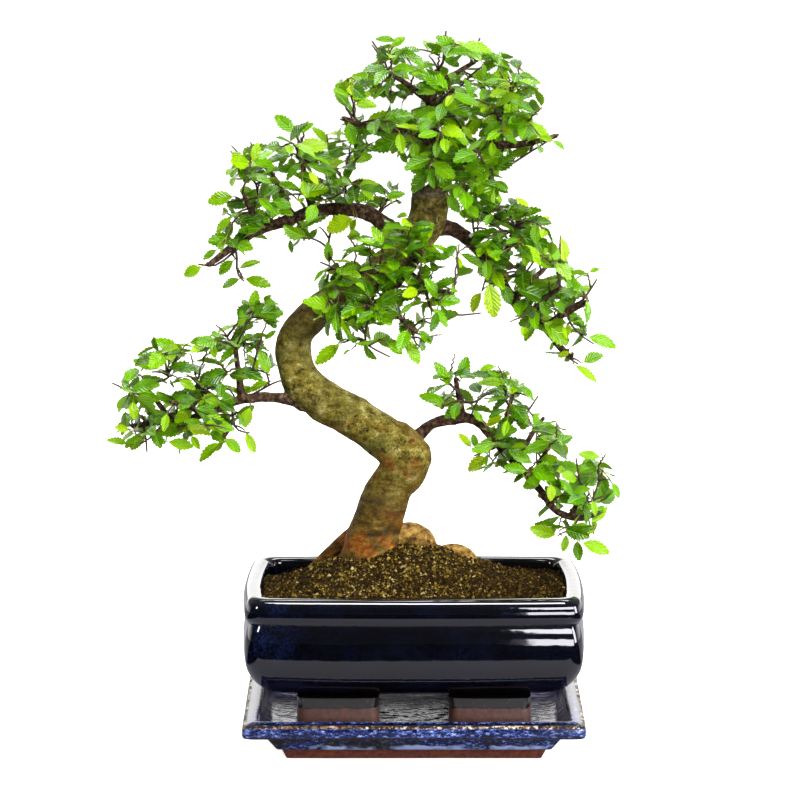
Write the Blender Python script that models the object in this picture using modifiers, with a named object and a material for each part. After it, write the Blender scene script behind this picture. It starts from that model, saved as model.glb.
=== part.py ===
"""Chinese elm bonsai in a glazed pot on its tray.

Lengths are in millimetres and turned to metres as each mesh is made. The tray's flat underside is at
z = 0 with its middle at the origin, +Z is up, and the front of the pot faces -Y.
"""

import math

import bmesh
import bpy
import numpy as np
from mathutils import Matrix, Vector
from mathutils.bvhtree import BVHTree

MM = 0.001
SEED = 7
GAP = 0.3

# The tree is laid out as seen from the front: a place is given by its x and z on the upright plane
# through the trunk, and by how far behind that plane it lies along the line of sight.
EYE = np.array([-7.0, -2200.0, 518.0])

# Tray: half sizes of the rim's outside, and its section as inset from the outside and height.
TRAY_HALF_X = 85.5
TRAY_HALF_Y = 69.0
TRAY_CORNER = 3.0
TRAY_FLOOR = 12.3
TRAY_OUTSIDE = [(21.5, 0.0), (19.0, 5.5), (16.5, 5.8), (10.5, 14.0), (2.0, 14.3), (0.0, 16.0), (0.0, 20.4),
                (0.8, 21.2)]
TRAY_INSIDE = [(6.0, 22.5), (7.2, 22.2), (9.0, 18.5), (13.5, 13.4), (16.0, TRAY_FLOOR)]

# Pot: half sizes at the belly, bow of the sides in plan, and its section as inset and height.
POT_HALF_X = 86.5
POT_HALF_Y = 62.5
POT_CORNER = 9.5
POT_BOW = 2.0
POT_BASE = 31.0
POT_FLOOR = 37.0
POT_RIM = 83.2
POT_OUTSIDE = [(27.0, POT_BASE), (16.0, 33.0), (8.0, 37.0), (3.0, 42.6), (0.6, 48.6), (0.0, 54.0),
               (0.1, 60.0), (1.0, 66.0), (2.2, 70.0), (0.5, 72.8), (0.0, 75.0), (0.5, 79.4),
               (1.8, 82.3), (4.0, POT_RIM)]
POT_INSIDE = [(8.0, POT_RIM), (9.4, 82.2), (9.8, 72.0), (10.5, 50.0), (14.0, 41.0), (24.0, POT_FLOOR)]
FOOT_SIZE = (40.0, 15.0, 21.0)
FOOT_X = 38.0
FOOT_Y = 43.0
FOOT_TAPER = 0.9
FOOT_BEVEL = 1.5
DRAIN_X = 34.0
DRAIN_RADIUS = 6.0
DRAIN_CUT = 20.0
DRAIN_MESH_SIDE = 22.0
DRAIN_MESH_THICK = 1.0
DRAIN_MESH_HOLE = 5.0
DRAIN_MESH_PITCH = 8.0

# Soil: its level at the walls and the mound round the trunk.
SOIL_LEVEL = 79.0
SOIL_FRONT_RISE = 2.0
SOIL_BACK_LEFT_DIP = 5.0
MOUND_HEIGHT = 22.0
MOUND_X = -5.0
MOUND_SPREAD = (52.0, 34.0)
SOIL_HALF_Y = 52.0
SOIL_SHARES = (1.0, 0.88, 0.74, 0.6, 0.46, 0.32, 0.18)

# Wood, as x, z, depth and radius. The trunk runs from under the soil to the sawn top.
TRUNK = [(-24, 72, 0, 16), (-23, 86, 0, 15.5), (-22, 99, 0, 13.6), (-17, 117, 0, 12), (-11, 132, 0, 11.3),
         (-4.5, 142.5, 0, 11.6), (-15, 155, -1, 10.9), (-30, 165.5, -3, 10.6), (-46, 174.5, -4, 10.3),
         (-57, 185, -3, 9.8), (-61, 198, -1, 9.4), (-59, 209, 1, 8.6), (-51, 218, 3, 8.4),
         (-36, 228, 4, 8.4), (-19, 239, 3, 8.6), (-4, 251, 1, 8.8), (6, 265, 0, 9.2), (9, 282, 0, 9.6)]
ELBOW = [(-10, 131, 0, 9.8), (-4.5, 140, 0, 11.8), (-3.5, 145, 0, 12.6), (-6, 150, 0, 12),
         (-15, 156, 0, 9.6)]
ROOTS = {
    "left": [(-26, 108, 8, 5.4), (-34, 102, 10, 4.6), (-42, 95.5, 12, 3.7), (-50, 89, 13, 2.9),
             (-58, 82, 14, 2.4)],
    "back": [(-18, 103, 8, 8), (-14, 97, 18, 6), (-8, 86, 30, 3)],
    "knuckle": [(-10, 104, 4, 6), (-2, 105, 4, 6.8), (4, 103, 4, 6.2), (9, 92, 4, 4)],
    "far_knuckle": [(10, 93, 6, 4), (18, 95.5, 4, 5.2), (26, 94, 2, 5), (33, 84, 0, 3)],
}
LIMBS = {
    "left_low": [(-54, 173, -4, 5), (-64, 175, -6, 3), (-74, 176, -8, 2.6), (-86, 175, -9, 2.4),
                 (-96, 171, -10, 2.2), (-106, 168, -9, 2), (-120, 163, -6, 1.8), (-132, 163, -4, 1.6),
                 (-143, 161, -2, 1.5)],
    "left_high": [(-2, 253, 2, 5), (-14, 263, 6, 4.4), (-24, 270, 9, 4), (-36, 272, 12, 3.6),
                  (-50, 271, 13, 3.2), (-64, 266, 12, 2.8), (-78, 261, 9, 2.4), (-92, 252, 4, 2),
                  (-104, 243, 0, 1.5)],
    "right_low": [(-9, 147, 8, 4.5), (2, 156, 13, 3.4), (10, 163, 15, 2.8), (20, 165, 15, 3),
                  (29, 165, 13, 2.8), (39, 156, 10, 2.4), (50, 144, 7, 2.2), (62, 131, 3, 2),
                  (74, 117, 0, 1.8), (86, 114, -3, 1.5), (95, 117, -5, 1.3)],
    "right_high": [(6, 262, 4, 5), (18, 262, 9, 3.8), (30, 254, 12, 3.2), (42, 239, 11, 3), (50, 226, 8, 2.8),
                   (58, 218, 5, 2.5), (66, 213, 2, 2.1), (76, 219, -2, 1.8), (88, 225, -5, 1.4)],
    "centre": [(2, 258, -6, 4), (0, 246, -18, 3), (-4, 240, -28, 2.5), (-12, 230, -36, 2.1),
               (-22, 221, -38, 1.6)],
    "crown": [(9, 276, 0, 6), (14, 288, 5, 4), (12, 300, 6, 3.4), (8, 314, 4, 3), (9, 328, 0, 2.5),
              (12, 342, -3, 1.8)],
    "crown_right": [(13, 290, 5, 3), (24, 297, 8, 2.7), (36, 304, 8, 2.4), (49, 304, 4, 2), (62, 306, 0, 1.6),
                    (72, 309, -3, 1.2)],
    "crown_left": [(11, 304, 6, 3), (0, 311, 2, 2.4), (-12, 312, -3, 2), (-25, 314, -7, 1.6),
                   (-36, 318, -9, 1.2)],
}
# Side branches, as the limb each leaves and its own route.
BRANCHES = {
    "left_low_up": [(-87, 176, -9, 2.2), (-89, 190, -12, 1.6), (-90, 201, -15, 1.2)],
    "left_low_back": [(-98, 171, -10, 1.9), (-104, 178, 6, 1.5), (-112, 182, 20, 1.1)],
    "left_low_front": [(-108, 168, -9, 1.8), (-114, 172, -20, 1.4), (-124, 174, -32, 1.1)],
    "left_low_tip": [(-122, 164, -6, 1.6), (-130, 174, -6, 1.3), (-136, 182, -6, 1.1)],
    "left_high_up": [(-50, 271, 13, 2.4), (-55, 284, 10, 1.8), (-56, 300, 8, 1.3)],
    "left_high_far": [(-62, 267, 12, 2.2), (-66, 281, 20, 1.7), (-74, 292, 28, 1.2)],
    "left_high_front": [(-76, 262, 9, 2), (-82, 272, -6, 1.5), (-86, 280, -18, 1.1)],
    "left_high_back": [(-36, 272, 12, 2.6), (-40, 281, 26, 1.8), (-48, 287, 40, 1.2)],
    "right_low_up": [(24, 166, 14, 2.2), (23, 175, 8, 1.6), (21, 186, 2, 1.2)],
    "right_low_mid": [(44, 151, 9, 2), (47, 164, 2, 1.5), (50, 178, -6, 1.2)],
    "right_low_far": [(52, 142, 6, 1.8), (59, 156, 16, 1.4), (66, 166, 26, 1.1)],
    "right_low_front": [(62, 131, 3, 1.8), (64, 142, -10, 1.4), (68, 150, -22, 1.1)],
    "right_low_end": [(80, 115, -2, 1.5), (86, 128, 0, 1.3), (89, 140, 2, 1.1)],
    "right_high_up": [(40, 242, 11, 2.3), (48, 254, 8, 1.7), (54, 266, 4, 1.2)],
    "right_high_far": [(50, 226, 8, 2.2), (60, 236, 20, 1.6), (68, 244, 32, 1.2)],
    "right_high_down": [(64, 214, 2, 1.8), (72, 204, -2, 1.4), (80, 196, -6, 1.1)],
    "right_high_front": [(58, 218, 5, 2), (66, 226, -10, 1.5), (74, 232, -24, 1.1)],
    "centre_left": [(-6, 238, -30, 1.8), (-20, 240, -34, 1.4), (-34, 240, -34, 1.1)],
    "centre_right": [(-3, 240, -27, 1.9), (8, 232, -36, 1.4), (20, 229, -42, 1.1)],
    "centre_down": [(-12, 230, -36, 1.7), (-8, 218, -40, 1.3), (2, 209, -42, 1.1)],
    "crown_back": [(9, 312, 4, 2.4), (12, 322, 20, 1.8), (14, 332, 36, 1.2)],
    "crown_front": [(9, 318, 3, 2.3), (14, 326, -14, 1.7), (20, 332, -30, 1.2)],
    "crown_top_left": [(8, 326, 0, 1.9), (-4, 335, 4, 1.5), (-16, 342, 8, 1.1)],
    "crown_top_right": [(10, 334, -1, 1.8), (20, 340, 2, 1.4), (31, 346, 6, 1.1)],
    "crown_right_up": [(42, 305, 6, 1.9), (46, 316, 12, 1.4), (54, 325, 18, 1.1)],
    "crown_low": [(24, 297, 8, 2), (32, 290, -6, 1.5), (38, 288, -20, 1.1)],
}

# Leafy pads, as centre x, z and depth, half sizes across, up and in depth, and the number of sprays.
PADS = {
    "left_low": [((-126, 170, -8), (16, 15, 22), 3), ((-98, 182, -4), (20, 18, 28), 4)],
    "left_high": [((-60, 292, 12), (24, 19, 30), 4), ((-94, 256, 2), (16, 17, 20), 2)],
    "crown": [((8, 332, 2), (33, 27, 38), 7), ((48, 312, 2), (24, 25, 30), 4),
              ((-22, 324, -2), (14, 19, 20), 2)],
    "right_high": [((52, 252, 8), (22, 19, 30), 3), ((78, 216, -2), (18, 22, 24), 3)],
    "centre": [((-22, 226, -32), (19, 17, 12), 3), ((12, 222, -34), (17, 19, 14), 2)],
    "right_low": [((32, 178, 4), (18, 14, 22), 2), ((64, 156, 0), (20, 19, 28), 3),
                  ((88, 120, -2), (12, 22, 18), 2)],
}
# Rods of the wood, as the spacing of their rows and their number of sides.
TRUNK_ROD = (9, 10)
ELBOW_ROD = (7, 8)
ROOT_ROD = (9, 6)
LIMB_ROD = (13, 6)
BRANCH_ROD = (14, 4)

# A stem starts just clear of the wood, this far from the place it grows to, and arches a little.
STEM_REACH = (9, 46)
STEM_TRIES = 40
STEM_ARCH = 0.1
ANCHOR_SPACING = 6
ANCHOR_CLEAR = 11
STEM_RADIUS = (0.95, 0.7)
TWIG_RADIUS = (0.75, 0.6)
TWIG_SIDES = 4
TWIG_REACH = (8, 12)
TWIG_FORWARD = 0.7
TWIG_LIFT = 0.2
LEAF_LENGTH = (15.0, 19.0)
LEAF_WIDTH = 0.62
LEAF_HALF_THICK = 0.6
LEAF_CREST = 0.42
LEAF_DROOP = 0.1
LEAF_FOLD = 0.18
LEAF_ASIDE = 0.9
LEAF_FORWARD = 0.55
LEAF_FACING = (0.6, 0.8)
LEAF_TEETH = [(0.25, 0.42), (0.52, 0.53), (0.58, 0.4), (0.8, 0.4)]
LEAF_ROOM = 1.08
# Leaves are shared out along a stem or twig from this share of its length to the end.
STEM_LEAVES = (5, 0.3)
TWIG_LEAVES = (2, 0.45)
LAST_LEAF = 0.985
TRIES = 10
FIRST_SCATTER = 0.25
SCATTER_STEP = 0.09


def seen(x, z, depth=0.0):
    """The place behind (x, z) on the trunk's plane, along the line of sight."""
    on_plane = np.array([x, 0.0, z])
    return EYE + (on_plane - EYE) * (1 + depth / -EYE[1])


def route_in_space(route):
    """A route of x, z, depth and radius as rows of x, y, z and radius."""
    return np.array([[*seen(x, z, depth), radius] for x, z, depth, radius in route])


def smooth_path(rows, spacing):
    """Rows about every spacing along a Hermite curve through the given rows."""
    rows = np.asarray(rows, float)
    steps = np.linalg.norm(np.diff(rows[:, :3], axis=0), axis=1)
    at = np.concatenate(([0.0], np.cumsum(steps)))
    slope = np.gradient(rows, at, axis=0)
    along = np.linspace(0, at[-1], max(2, round(at[-1] / spacing) + 1))
    i = np.clip(np.searchsorted(at, along, side="right") - 1, 0, len(at) - 2)
    step = (at[i + 1] - at[i])[:, None]
    u = (along - at[i])[:, None] / step
    return ((2 * u**3 - 3 * u**2 + 1) * rows[i] + (u**3 - 2 * u**2 + u) * step * slope[i]
            + (3 * u**2 - 2 * u**3) * rows[i + 1] + (u**3 - u**2) * step * slope[i + 1])


def clear_scene():
    for thing in list(bpy.data.objects):
        bpy.data.objects.remove(thing, do_unlink=True)


def material(name, colour, roughness):
    made = bpy.data.materials.new(name)
    made.use_nodes = True
    shader = made.node_tree.nodes["Principled BSDF"]
    shader.inputs["Base Color"].default_value = (*colour, 1.0)
    shader.inputs["Roughness"].default_value = roughness
    made.diffuse_color = (*colour, 1.0)
    return made


def place(name, mesh, collection):
    thing = bpy.data.objects.new(name, mesh)
    collection.objects.link(thing)
    return thing


def mesh_from(name, points, faces):
    """A mesh from points in millimetres."""
    mesh = bpy.data.meshes.new(name)
    mesh.from_pydata([tuple(p) for p in np.asarray(points) * MM], [], faces)
    mesh.update()
    return mesh


def box(name, size, centre, collection):
    bpy.ops.mesh.primitive_cube_add(size=1.0)
    thing = bpy.context.active_object
    thing.name = name
    thing.data.transform(Matrix.Diagonal((*[s * MM for s in size], 1.0)))
    thing.data.transform(Matrix.Translation(Vector(centre) * MM))
    for old in list(thing.users_collection):
        old.objects.unlink(thing)
    collection.objects.link(thing)
    return thing


def tube(name, rows, sides, collection):
    """A round rod with flat ends along rows of x, y, z and radius, as a closed mesh."""
    curve = bpy.data.curves.new(name, "CURVE")
    curve.dimensions = "3D"
    curve.bevel_depth = MM
    curve.bevel_resolution = (sides - 4) // 2
    curve.use_fill_caps = True
    spline = curve.splines.new("POLY")
    spline.points.add(len(rows) - 1)
    for point, (x, y, z, radius) in zip(spline.points, rows):
        point.co = (x * MM, y * MM, z * MM, 1.0)
        point.radius = radius
    guide = place(name + "_line", curve, collection)
    bpy.context.view_layer.update()
    mesh = bpy.data.meshes.new_from_object(guide.evaluated_get(bpy.context.evaluated_depsgraph_get()))
    mesh.transform(guide.matrix_world)
    bpy.data.objects.remove(guide)
    weld(mesh)
    return place(name, mesh, collection)


def weld(mesh):
    work = bmesh.new()
    work.from_mesh(mesh)
    bmesh.ops.remove_doubles(work, verts=work.verts, dist=0.002 * MM)
    bmesh.ops.recalc_face_normals(work, faces=work.faces)
    work.to_mesh(mesh)
    work.free()


def largest_piece(mesh):
    """Drops every loose scrap and sealed hollow, which are smaller than the body itself."""
    work = bmesh.new()
    work.from_mesh(mesh)
    unseen = set(work.verts)
    groups = []
    while unseen:
        group = [unseen.pop()]
        for vert in group:
            for edge in vert.link_edges:
                other = edge.other_vert(vert)
                if other in unseen:
                    unseen.remove(other)
                    group.append(other)
        groups.append(group)
    groups.sort(key=len)
    for group in groups[:-1]:
        bmesh.ops.delete(work, geom=group, context="VERTS")
    work.to_mesh(mesh)
    work.free()


def combine(base, others, operation, solver="MANIFOLD"):
    """Joins the others to the base or cuts them out of it, applies that, and removes them."""
    group = bpy.data.collections.new(base.name + "_operands")
    bpy.context.scene.collection.children.link(group)
    for other in others:
        for old in list(other.users_collection):
            old.objects.unlink(other)
        group.objects.link(other)
        other.hide_render = True
        other.display_type = "WIRE"
    cut = base.modifiers.new(operation.lower(), "BOOLEAN")
    cut.operation = operation
    cut.operand_type = "COLLECTION"
    cut.collection = group
    cut.solver = solver
    bpy.context.view_layer.update()
    mesh = bpy.data.meshes.new_from_object(base.evaluated_get(bpy.context.evaluated_depsgraph_get()))
    base.modifiers.clear()
    base.data = mesh
    mesh.name = base.name
    for other in others:
        bpy.data.objects.remove(other)
    bpy.data.collections.remove(group)
    largest_piece(mesh)


def plan_ring(half_x, half_y, corner, bow, height, per_corner=3, per_side=3):
    """Points round a rectangle with round corners and sides that swell by the bow at their middle."""
    points = []
    for turn in range(4):
        across, out = (half_x, half_y) if turn % 2 else (half_y, half_x)
        angle = turn * math.pi / 2
        local = []
        for step in range(per_side):
            t = -1 + 2 * step / per_side
            local.append((out + bow * (1 - t * t), t * (across - corner)))
        for step in range(per_corner):
            a = step / per_corner * math.pi / 2
            local.append((out - corner + corner * math.cos(a), across - corner + corner * math.sin(a)))
        for x, y in local:
            points.append((x * math.cos(angle) - y * math.sin(angle),
                           x * math.sin(angle) + y * math.cos(angle), height))
    return points


def loft(name, rings, collection):
    """A closed solid through rings of equal length, capped at both ends."""
    count = len(rings[0])
    faces = [tuple(reversed(range(count)))]
    for level in range(len(rings) - 1):
        for i in range(count):
            j = (i + 1) % count
            low, high = level * count, (level + 1) * count
            faces.append((low + i, low + j, high + j, high + i))
    faces.append(tuple(range((len(rings) - 1) * count, len(rings) * count)))
    return place(name, mesh_from(name, [p for ring in rings for p in ring], faces), collection)


def tray_ring(inset, height):
    corner = max(TRAY_CORNER - inset * 0.15, 0.6)
    return plan_ring(TRAY_HALF_X - inset, TRAY_HALF_Y - inset, corner, 0.0, height, 2, 1)


def build_tray(parts):
    return loft("tray", [tray_ring(inset, z) for inset, z in TRAY_OUTSIDE + TRAY_INSIDE], parts)


def pot_ring(inset, height):
    corner = max(POT_CORNER - inset * 0.3, 6.0)
    half_x, half_y = POT_HALF_X - inset - POT_BOW, POT_HALF_Y - inset - POT_BOW
    return plan_ring(half_x, half_y, corner, POT_BOW, height, 3, 2)


def build_pot(parts):
    """The open pot, with four short feet grown from its base and two drain holes in its floor."""
    pot = loft("pot", [pot_ring(inset, z) for inset, z in POT_OUTSIDE + POT_INSIDE], parts)
    feet = []
    for sx in (-1, 1):
        for sy in (-1, 1):
            low = TRAY_FLOOR + GAP
            foot = box("foot", FOOT_SIZE, (sx * FOOT_X, sy * FOOT_Y, low + FOOT_SIZE[2] / 2), parts)
            for vert in foot.data.vertices:
                if vert.co.z < (low + 1) * MM:
                    vert.co.x = sx * FOOT_X * MM + (vert.co.x - sx * FOOT_X * MM) * FOOT_TAPER
                    vert.co.y = sy * FOOT_Y * MM + (vert.co.y - sy * FOOT_Y * MM) * FOOT_TAPER
            soften = foot.modifiers.new("soften", "BEVEL")
            soften.width = FOOT_BEVEL * MM
            soften.segments = 1
            feet.append(foot)
    combine(pot, feet, "UNION", "EXACT")
    drains = []
    for side in (-1, 1):
        bpy.ops.mesh.primitive_cylinder_add(vertices=16, radius=DRAIN_RADIUS * MM, depth=DRAIN_CUT * MM,
                                            location=(side * DRAIN_X * MM, 0, POT_BASE * MM))
        drain = bpy.context.active_object
        drain.data.transform(drain.matrix_world)
        drain.matrix_world = Matrix.Identity(4)
        drains.append(drain)
    combine(pot, drains, "DIFFERENCE", "EXACT")
    return pot


def build_drain_mesh(side, name, parts):
    """A square of stiff plastic mesh that lies over one drain hole."""
    low = POT_FLOOR + GAP
    plate = box(name, (DRAIN_MESH_SIDE, DRAIN_MESH_SIDE, DRAIN_MESH_THICK),
                (side * DRAIN_X, 0, low + DRAIN_MESH_THICK / 2), parts)
    holes = []
    for i in (-0.5, 0.5):
        for j in (-0.5, 0.5):
            at = (side * DRAIN_X + i * DRAIN_MESH_PITCH, j * DRAIN_MESH_PITCH, low)
            holes.append(box("hole", (DRAIN_MESH_HOLE, DRAIN_MESH_HOLE, 4), at, parts))
    combine(plate, holes, "DIFFERENCE", "EXACT")
    return plate


def soil_height(x, y):
    """Level soil that dips at the back left, with a broad mound round the trunk."""
    mound = MOUND_HEIGHT * math.exp(-((x - MOUND_X) / MOUND_SPREAD[0])**2 - (y / MOUND_SPREAD[1])**2)
    back_left = max(0.0, y / SOIL_HALF_Y) * max(0.0, min(1.0, (-x - 10) / 40))
    return SOIL_LEVEL - SOIL_FRONT_RISE * y / SOIL_HALF_Y - SOIL_BACK_LEFT_DIP * back_left + mound


def build_soil(parts, wood_rows):
    """Soil that fills the pot, 0.3 mm clear of it, with a hole for the trunk and each root."""
    inside = [(inset + GAP + 0.15, z) for inset, z in reversed(POT_INSIDE[2:])]
    rings = [pot_ring(inset, z + (GAP if z == POT_FLOOR else 0)) for inset, z in inside]
    wall = pot_ring(inside[-1][0], inside[-1][1])
    for share in SOIL_SHARES:
        ring = []
        for x, y, _ in wall:
            at_x, at_y = MOUND_X + (x - MOUND_X) * share, y * share
            ring.append((at_x, at_y, soil_height(at_x, at_y)))
        rings.append(ring)
    soil = loft("soil", rings, parts)
    cuts = [tube("grown", grow(rows), sides, parts) for rows, sides in wood_rows]
    pocket_side = DRAIN_MESH_SIDE + 2 * GAP
    pocket_low = POT_FLOOR - 2
    pocket_high = POT_FLOOR + DRAIN_MESH_THICK + 2 * GAP
    for side in (-1, 1):
        cuts.append(box("pocket", (pocket_side, pocket_side, pocket_high - pocket_low),
                        (side * DRAIN_X, 0, (pocket_low + pocket_high) / 2), parts))
    combine(soil, cuts, "DIFFERENCE")
    return soil


def grow(rows):
    """The same rod with room all round, longer at both ends."""
    grown = rows.copy()
    grown[:, 3] += 1.5 * GAP
    for end, near in ((0, 1), (-1, -2)):
        out = rows[end, :3] - rows[near, :3]
        grown[end, :3] += out / np.linalg.norm(out) * 1.5 * GAP
    return grown


def rod_rows(route, rod):
    """A route's rows in space and its number of sides."""
    spacing, sides = rod
    return smooth_path(route_in_space(route), spacing), sides


def build_wood(parts):
    """The trunk, roots, limbs and side branches as one grown piece."""
    in_soil = [rod_rows(TRUNK, TRUNK_ROD)] + [rod_rows(route, ROOT_ROD) for route in ROOTS.values()]
    rods = in_soil + [rod_rows(ELBOW, ELBOW_ROD)]
    rods += [rod_rows(route, LIMB_ROD) for route in LIMBS.values()]
    rods += [rod_rows(route, BRANCH_ROD) for route in BRANCHES.values()]
    tubes = [tube("rod", rows, sides, parts) for rows, sides in rods]
    tubes[0].name = "tree_wood"
    combine(tubes[0], tubes[1:], "UNION")
    return tubes[0], in_soil


def tree_of(thing):
    """A search tree of an object's faces, in millimetres."""
    points = [v.co / MM for v in thing.data.vertices]
    return BVHTree.FromPolygons(points, [tuple(p.vertices) for p in thing.data.polygons])


def leaf_shape(length):
    """A toothed elm leaf along +X, keel-thick at its crest: outline, then top and bottom crest."""
    right = [(u * length, -v * length * LEAF_WIDTH) for u, v in LEAF_TEETH]
    left = [(x, -y) for x, y in reversed(right)]
    flat = [(0.0, 0.0)] + right + [(length, 0.0)] + left
    droop = LEAF_DROOP / length
    points = [(x, y, abs(y) * LEAF_FOLD - droop * x * x) for x, y in flat]
    crest = length * LEAF_CREST
    low = -droop * crest * crest
    points += [(crest, 0.0, low + LEAF_HALF_THICK), (crest, 0.0, low - LEAF_HALF_THICK)]
    count = len(flat)
    faces = []
    for i in range(count):
        j = (i + 1) % count
        faces += [(i, j, count), (j, i, count + 1)]
    return np.array(points), faces


def frame_from(axis, normal):
    """A 3x3 frame whose first axis is the given one and whose third leans to the normal."""
    first = axis / np.linalg.norm(axis)
    second = np.cross(normal, first)
    second /= np.linalg.norm(second)
    return np.column_stack((first, second, np.cross(first, second)))


class Taken:
    """What is already built, as search trees with their boxes."""

    def __init__(self):
        self.trees = []

    def add(self, tree, points):
        points = np.asarray(points)
        self.trees.append((tree, points.min(axis=0), points.max(axis=0)))

    def hit(self, points, faces):
        low, high = points.min(axis=0), points.max(axis=0)
        tree = None
        for other, other_low, other_high in self.trees:
            if np.all(low <= other_high) and np.all(high >= other_low):
                tree = tree or BVHTree.FromPolygons([tuple(p) for p in points], faces)
                if tree.overlap(other):
                    return True
        return False


def object_points(thing):
    points = np.empty(len(thing.data.vertices) * 3)
    thing.data.vertices.foreach_get("co", points)
    return points.reshape(-1, 3) / MM


def leaf_at(rng, base, away, up, taken, own):
    """A leaf from base that leans away, turned a little until it is clear; None if it never is."""
    length = rng.uniform(*LEAF_LENGTH)
    shape, faces = leaf_shape(length)
    for turn in range(TRIES):
        spread = FIRST_SCATTER + SCATTER_STEP * turn
        axis = away + rng.normal(0, spread, 3)
        normal = up + rng.normal(0, spread, 3)
        turned = frame_from(axis, normal)
        points = base + shape @ turned.T
        middle = points.mean(axis=0)
        roomy = middle + (points - middle) * LEAF_ROOM
        if taken.hit(roomy, faces) or own.hit(points, faces):
            continue
        own.add(BVHTree.FromPolygons([tuple(p) for p in points], faces), points)
        return points, faces
    return None


def stem_start(wood, anchor, goal):
    """Where a stem begins, just clear of the wood's surface on its way from the anchor to the goal."""
    way = Vector(anchor - goal)
    reach = way.length
    hit, _, _, _ = wood.ray_cast(Vector(goal), way.normalized(), reach)
    if hit is None:
        return None
    out = np.array(-way.normalized())
    sideways = np.vstack((np.eye(3), -np.eye(3))) * STEM_RADIUS[0] * 0.75
    for clear in np.arange(GAP, 1.5, 0.1):
        start = np.array(hit) + out * clear
        if min(wood.find_nearest(Vector(start + aside))[3] for aside in sideways) > GAP:
            return start
    return None


def build_spray(name, rng, wood, anchors, centre, half, taken, parts):
    """One leafy stem with a side twig, from the wood into a pad."""
    for _ in range(STEM_TRIES):
        way = rng.normal(0, 1, 3)
        way /= np.linalg.norm(way)
        goal = centre + way * np.array([half[0], half[2], half[1]]) * rng.uniform(0.7, 1.0)
        reach = np.linalg.norm(anchors - goal, axis=1)
        near = np.argmin(np.where(reach < ANCHOR_CLEAR, np.inf, reach))
        start = stem_start(wood, anchors[near], goal)
        if start is None:
            continue
        length = np.linalg.norm(goal - start)
        if not STEM_REACH[0] < length < STEM_REACH[1]:
            continue
        middle = (start + goal) / 2 + np.array([0, 0, STEM_ARCH * length])
        rows = [[*start, STEM_RADIUS[0]], [*middle, np.mean(STEM_RADIUS)], [*goal, STEM_RADIUS[1]]]
        path = smooth_path(rows, length / 2)
        stem = tube(name, path, TWIG_SIDES, parts)
        points = object_points(stem)
        faces = [tuple(p.vertices) for p in stem.data.polygons]
        if taken.hit(points, faces):
            bpy.data.objects.remove(stem)
            continue
        return leaves_on(name, rng, stem, path, centre, taken, parts)
    return None


def side_twig(rng, path, taken, parts):
    """A short twig from the middle of the stem, turned aside; None if nothing there is free."""
    base = path[1, :3]
    along = path[-1, :3] - path[0, :3]
    along /= np.linalg.norm(along)
    for _ in range(TRIES):
        aside = np.cross(along, rng.normal(0, 1, 3))
        way = along * TWIG_FORWARD + aside / np.linalg.norm(aside) + [0, 0, TWIG_LIFT]
        tip = base + way * rng.uniform(*TWIG_REACH)
        rows = np.array([[*base, TWIG_RADIUS[0]], [*tip, TWIG_RADIUS[1]]])
        twig = tube("twig", rows, TWIG_SIDES, parts)
        if not taken.hit(object_points(twig), [tuple(p.vertices) for p in twig.data.polygons]):
            return twig, rows
        bpy.data.objects.remove(twig)
    return None


def leaf_base(line, share):
    """The place at this share of a line's length, and the way the line runs there."""
    steps = share * (len(line) - 1)
    k = min(int(steps), len(line) - 2)
    along = line[k + 1, :3] - line[k, :3]
    return line[k, :3] + along * (steps - k), along / np.linalg.norm(along)


def leaves_on(name, rng, stem, path, centre, taken, parts):
    """Leaves set alternately along the stem and a side twig, all fused into one piece."""
    pieces, leaves, own = [], Taken(), [object_points(stem)]
    lines = [(path, *STEM_LEAVES)]
    side = side_twig(rng, path, taken, parts)
    if side:
        pieces.append(side[0])
        lines.append((side[1], *TWIG_LEAVES))
    for line, count, first in lines:
        for i in range(count):
            share = first + (1 - first) * (i + 1) / count
            base, along = leaf_base(line, min(share, LAST_LEAF))
            aside = np.cross(along, (0, 0, 1.0)) + 1e-3
            aside *= (1 if i % 2 else -1) * LEAF_ASIDE / np.linalg.norm(aside)
            away = along if i == count - 1 else along * LEAF_FORWARD + aside
            out = base - centre
            facing = np.array([0, 0, LEAF_FACING[0]]) + LEAF_FACING[1] * out / (np.linalg.norm(out) + 1)
            made = leaf_at(rng, base, away, facing, taken, leaves)
            if made:
                pieces.append(place("leaf", mesh_from("leaf", *made), parts))
                own.append(made[0])
    combine(stem, pieces, "UNION")
    taken.add(tree_of(stem), np.vstack(own))
    return stem


def spread_anchors(names):
    """Places along the named limbs and branches where stems may leave, past their first third."""
    rows = []
    for key in names:
        path = smooth_path(route_in_space({**LIMBS, **BRANCHES}[key]), ANCHOR_SPACING)
        rows.append(path[len(path) // 3:, :3])
    return np.vstack(rows)


def build_sprays(parts, wood, taken):
    rng = np.random.default_rng(SEED)
    made = []
    every = {**LIMBS, **BRANCHES}
    for pad, clumps in PADS.items():
        anchors = spread_anchors([key for key in every if key.startswith(pad)])
        number = 0
        for centre, half, count in clumps:
            middle = seen(*centre)
            for _ in range(count):
                number += 1
                name = f"spray_{pad}_{number:02d}"
                spray = build_spray(name, rng, wood, anchors, middle, half, taken, parts)
                if spray:
                    made.append(spray)
    return made


def finish(thing, surface, smooth=False):
    thing.data.materials.clear()
    thing.data.materials.append(surface)
    if smooth:
        thing.data.shade_smooth()
        thing.data.set_sharp_from_angle(angle=math.radians(40))


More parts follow.
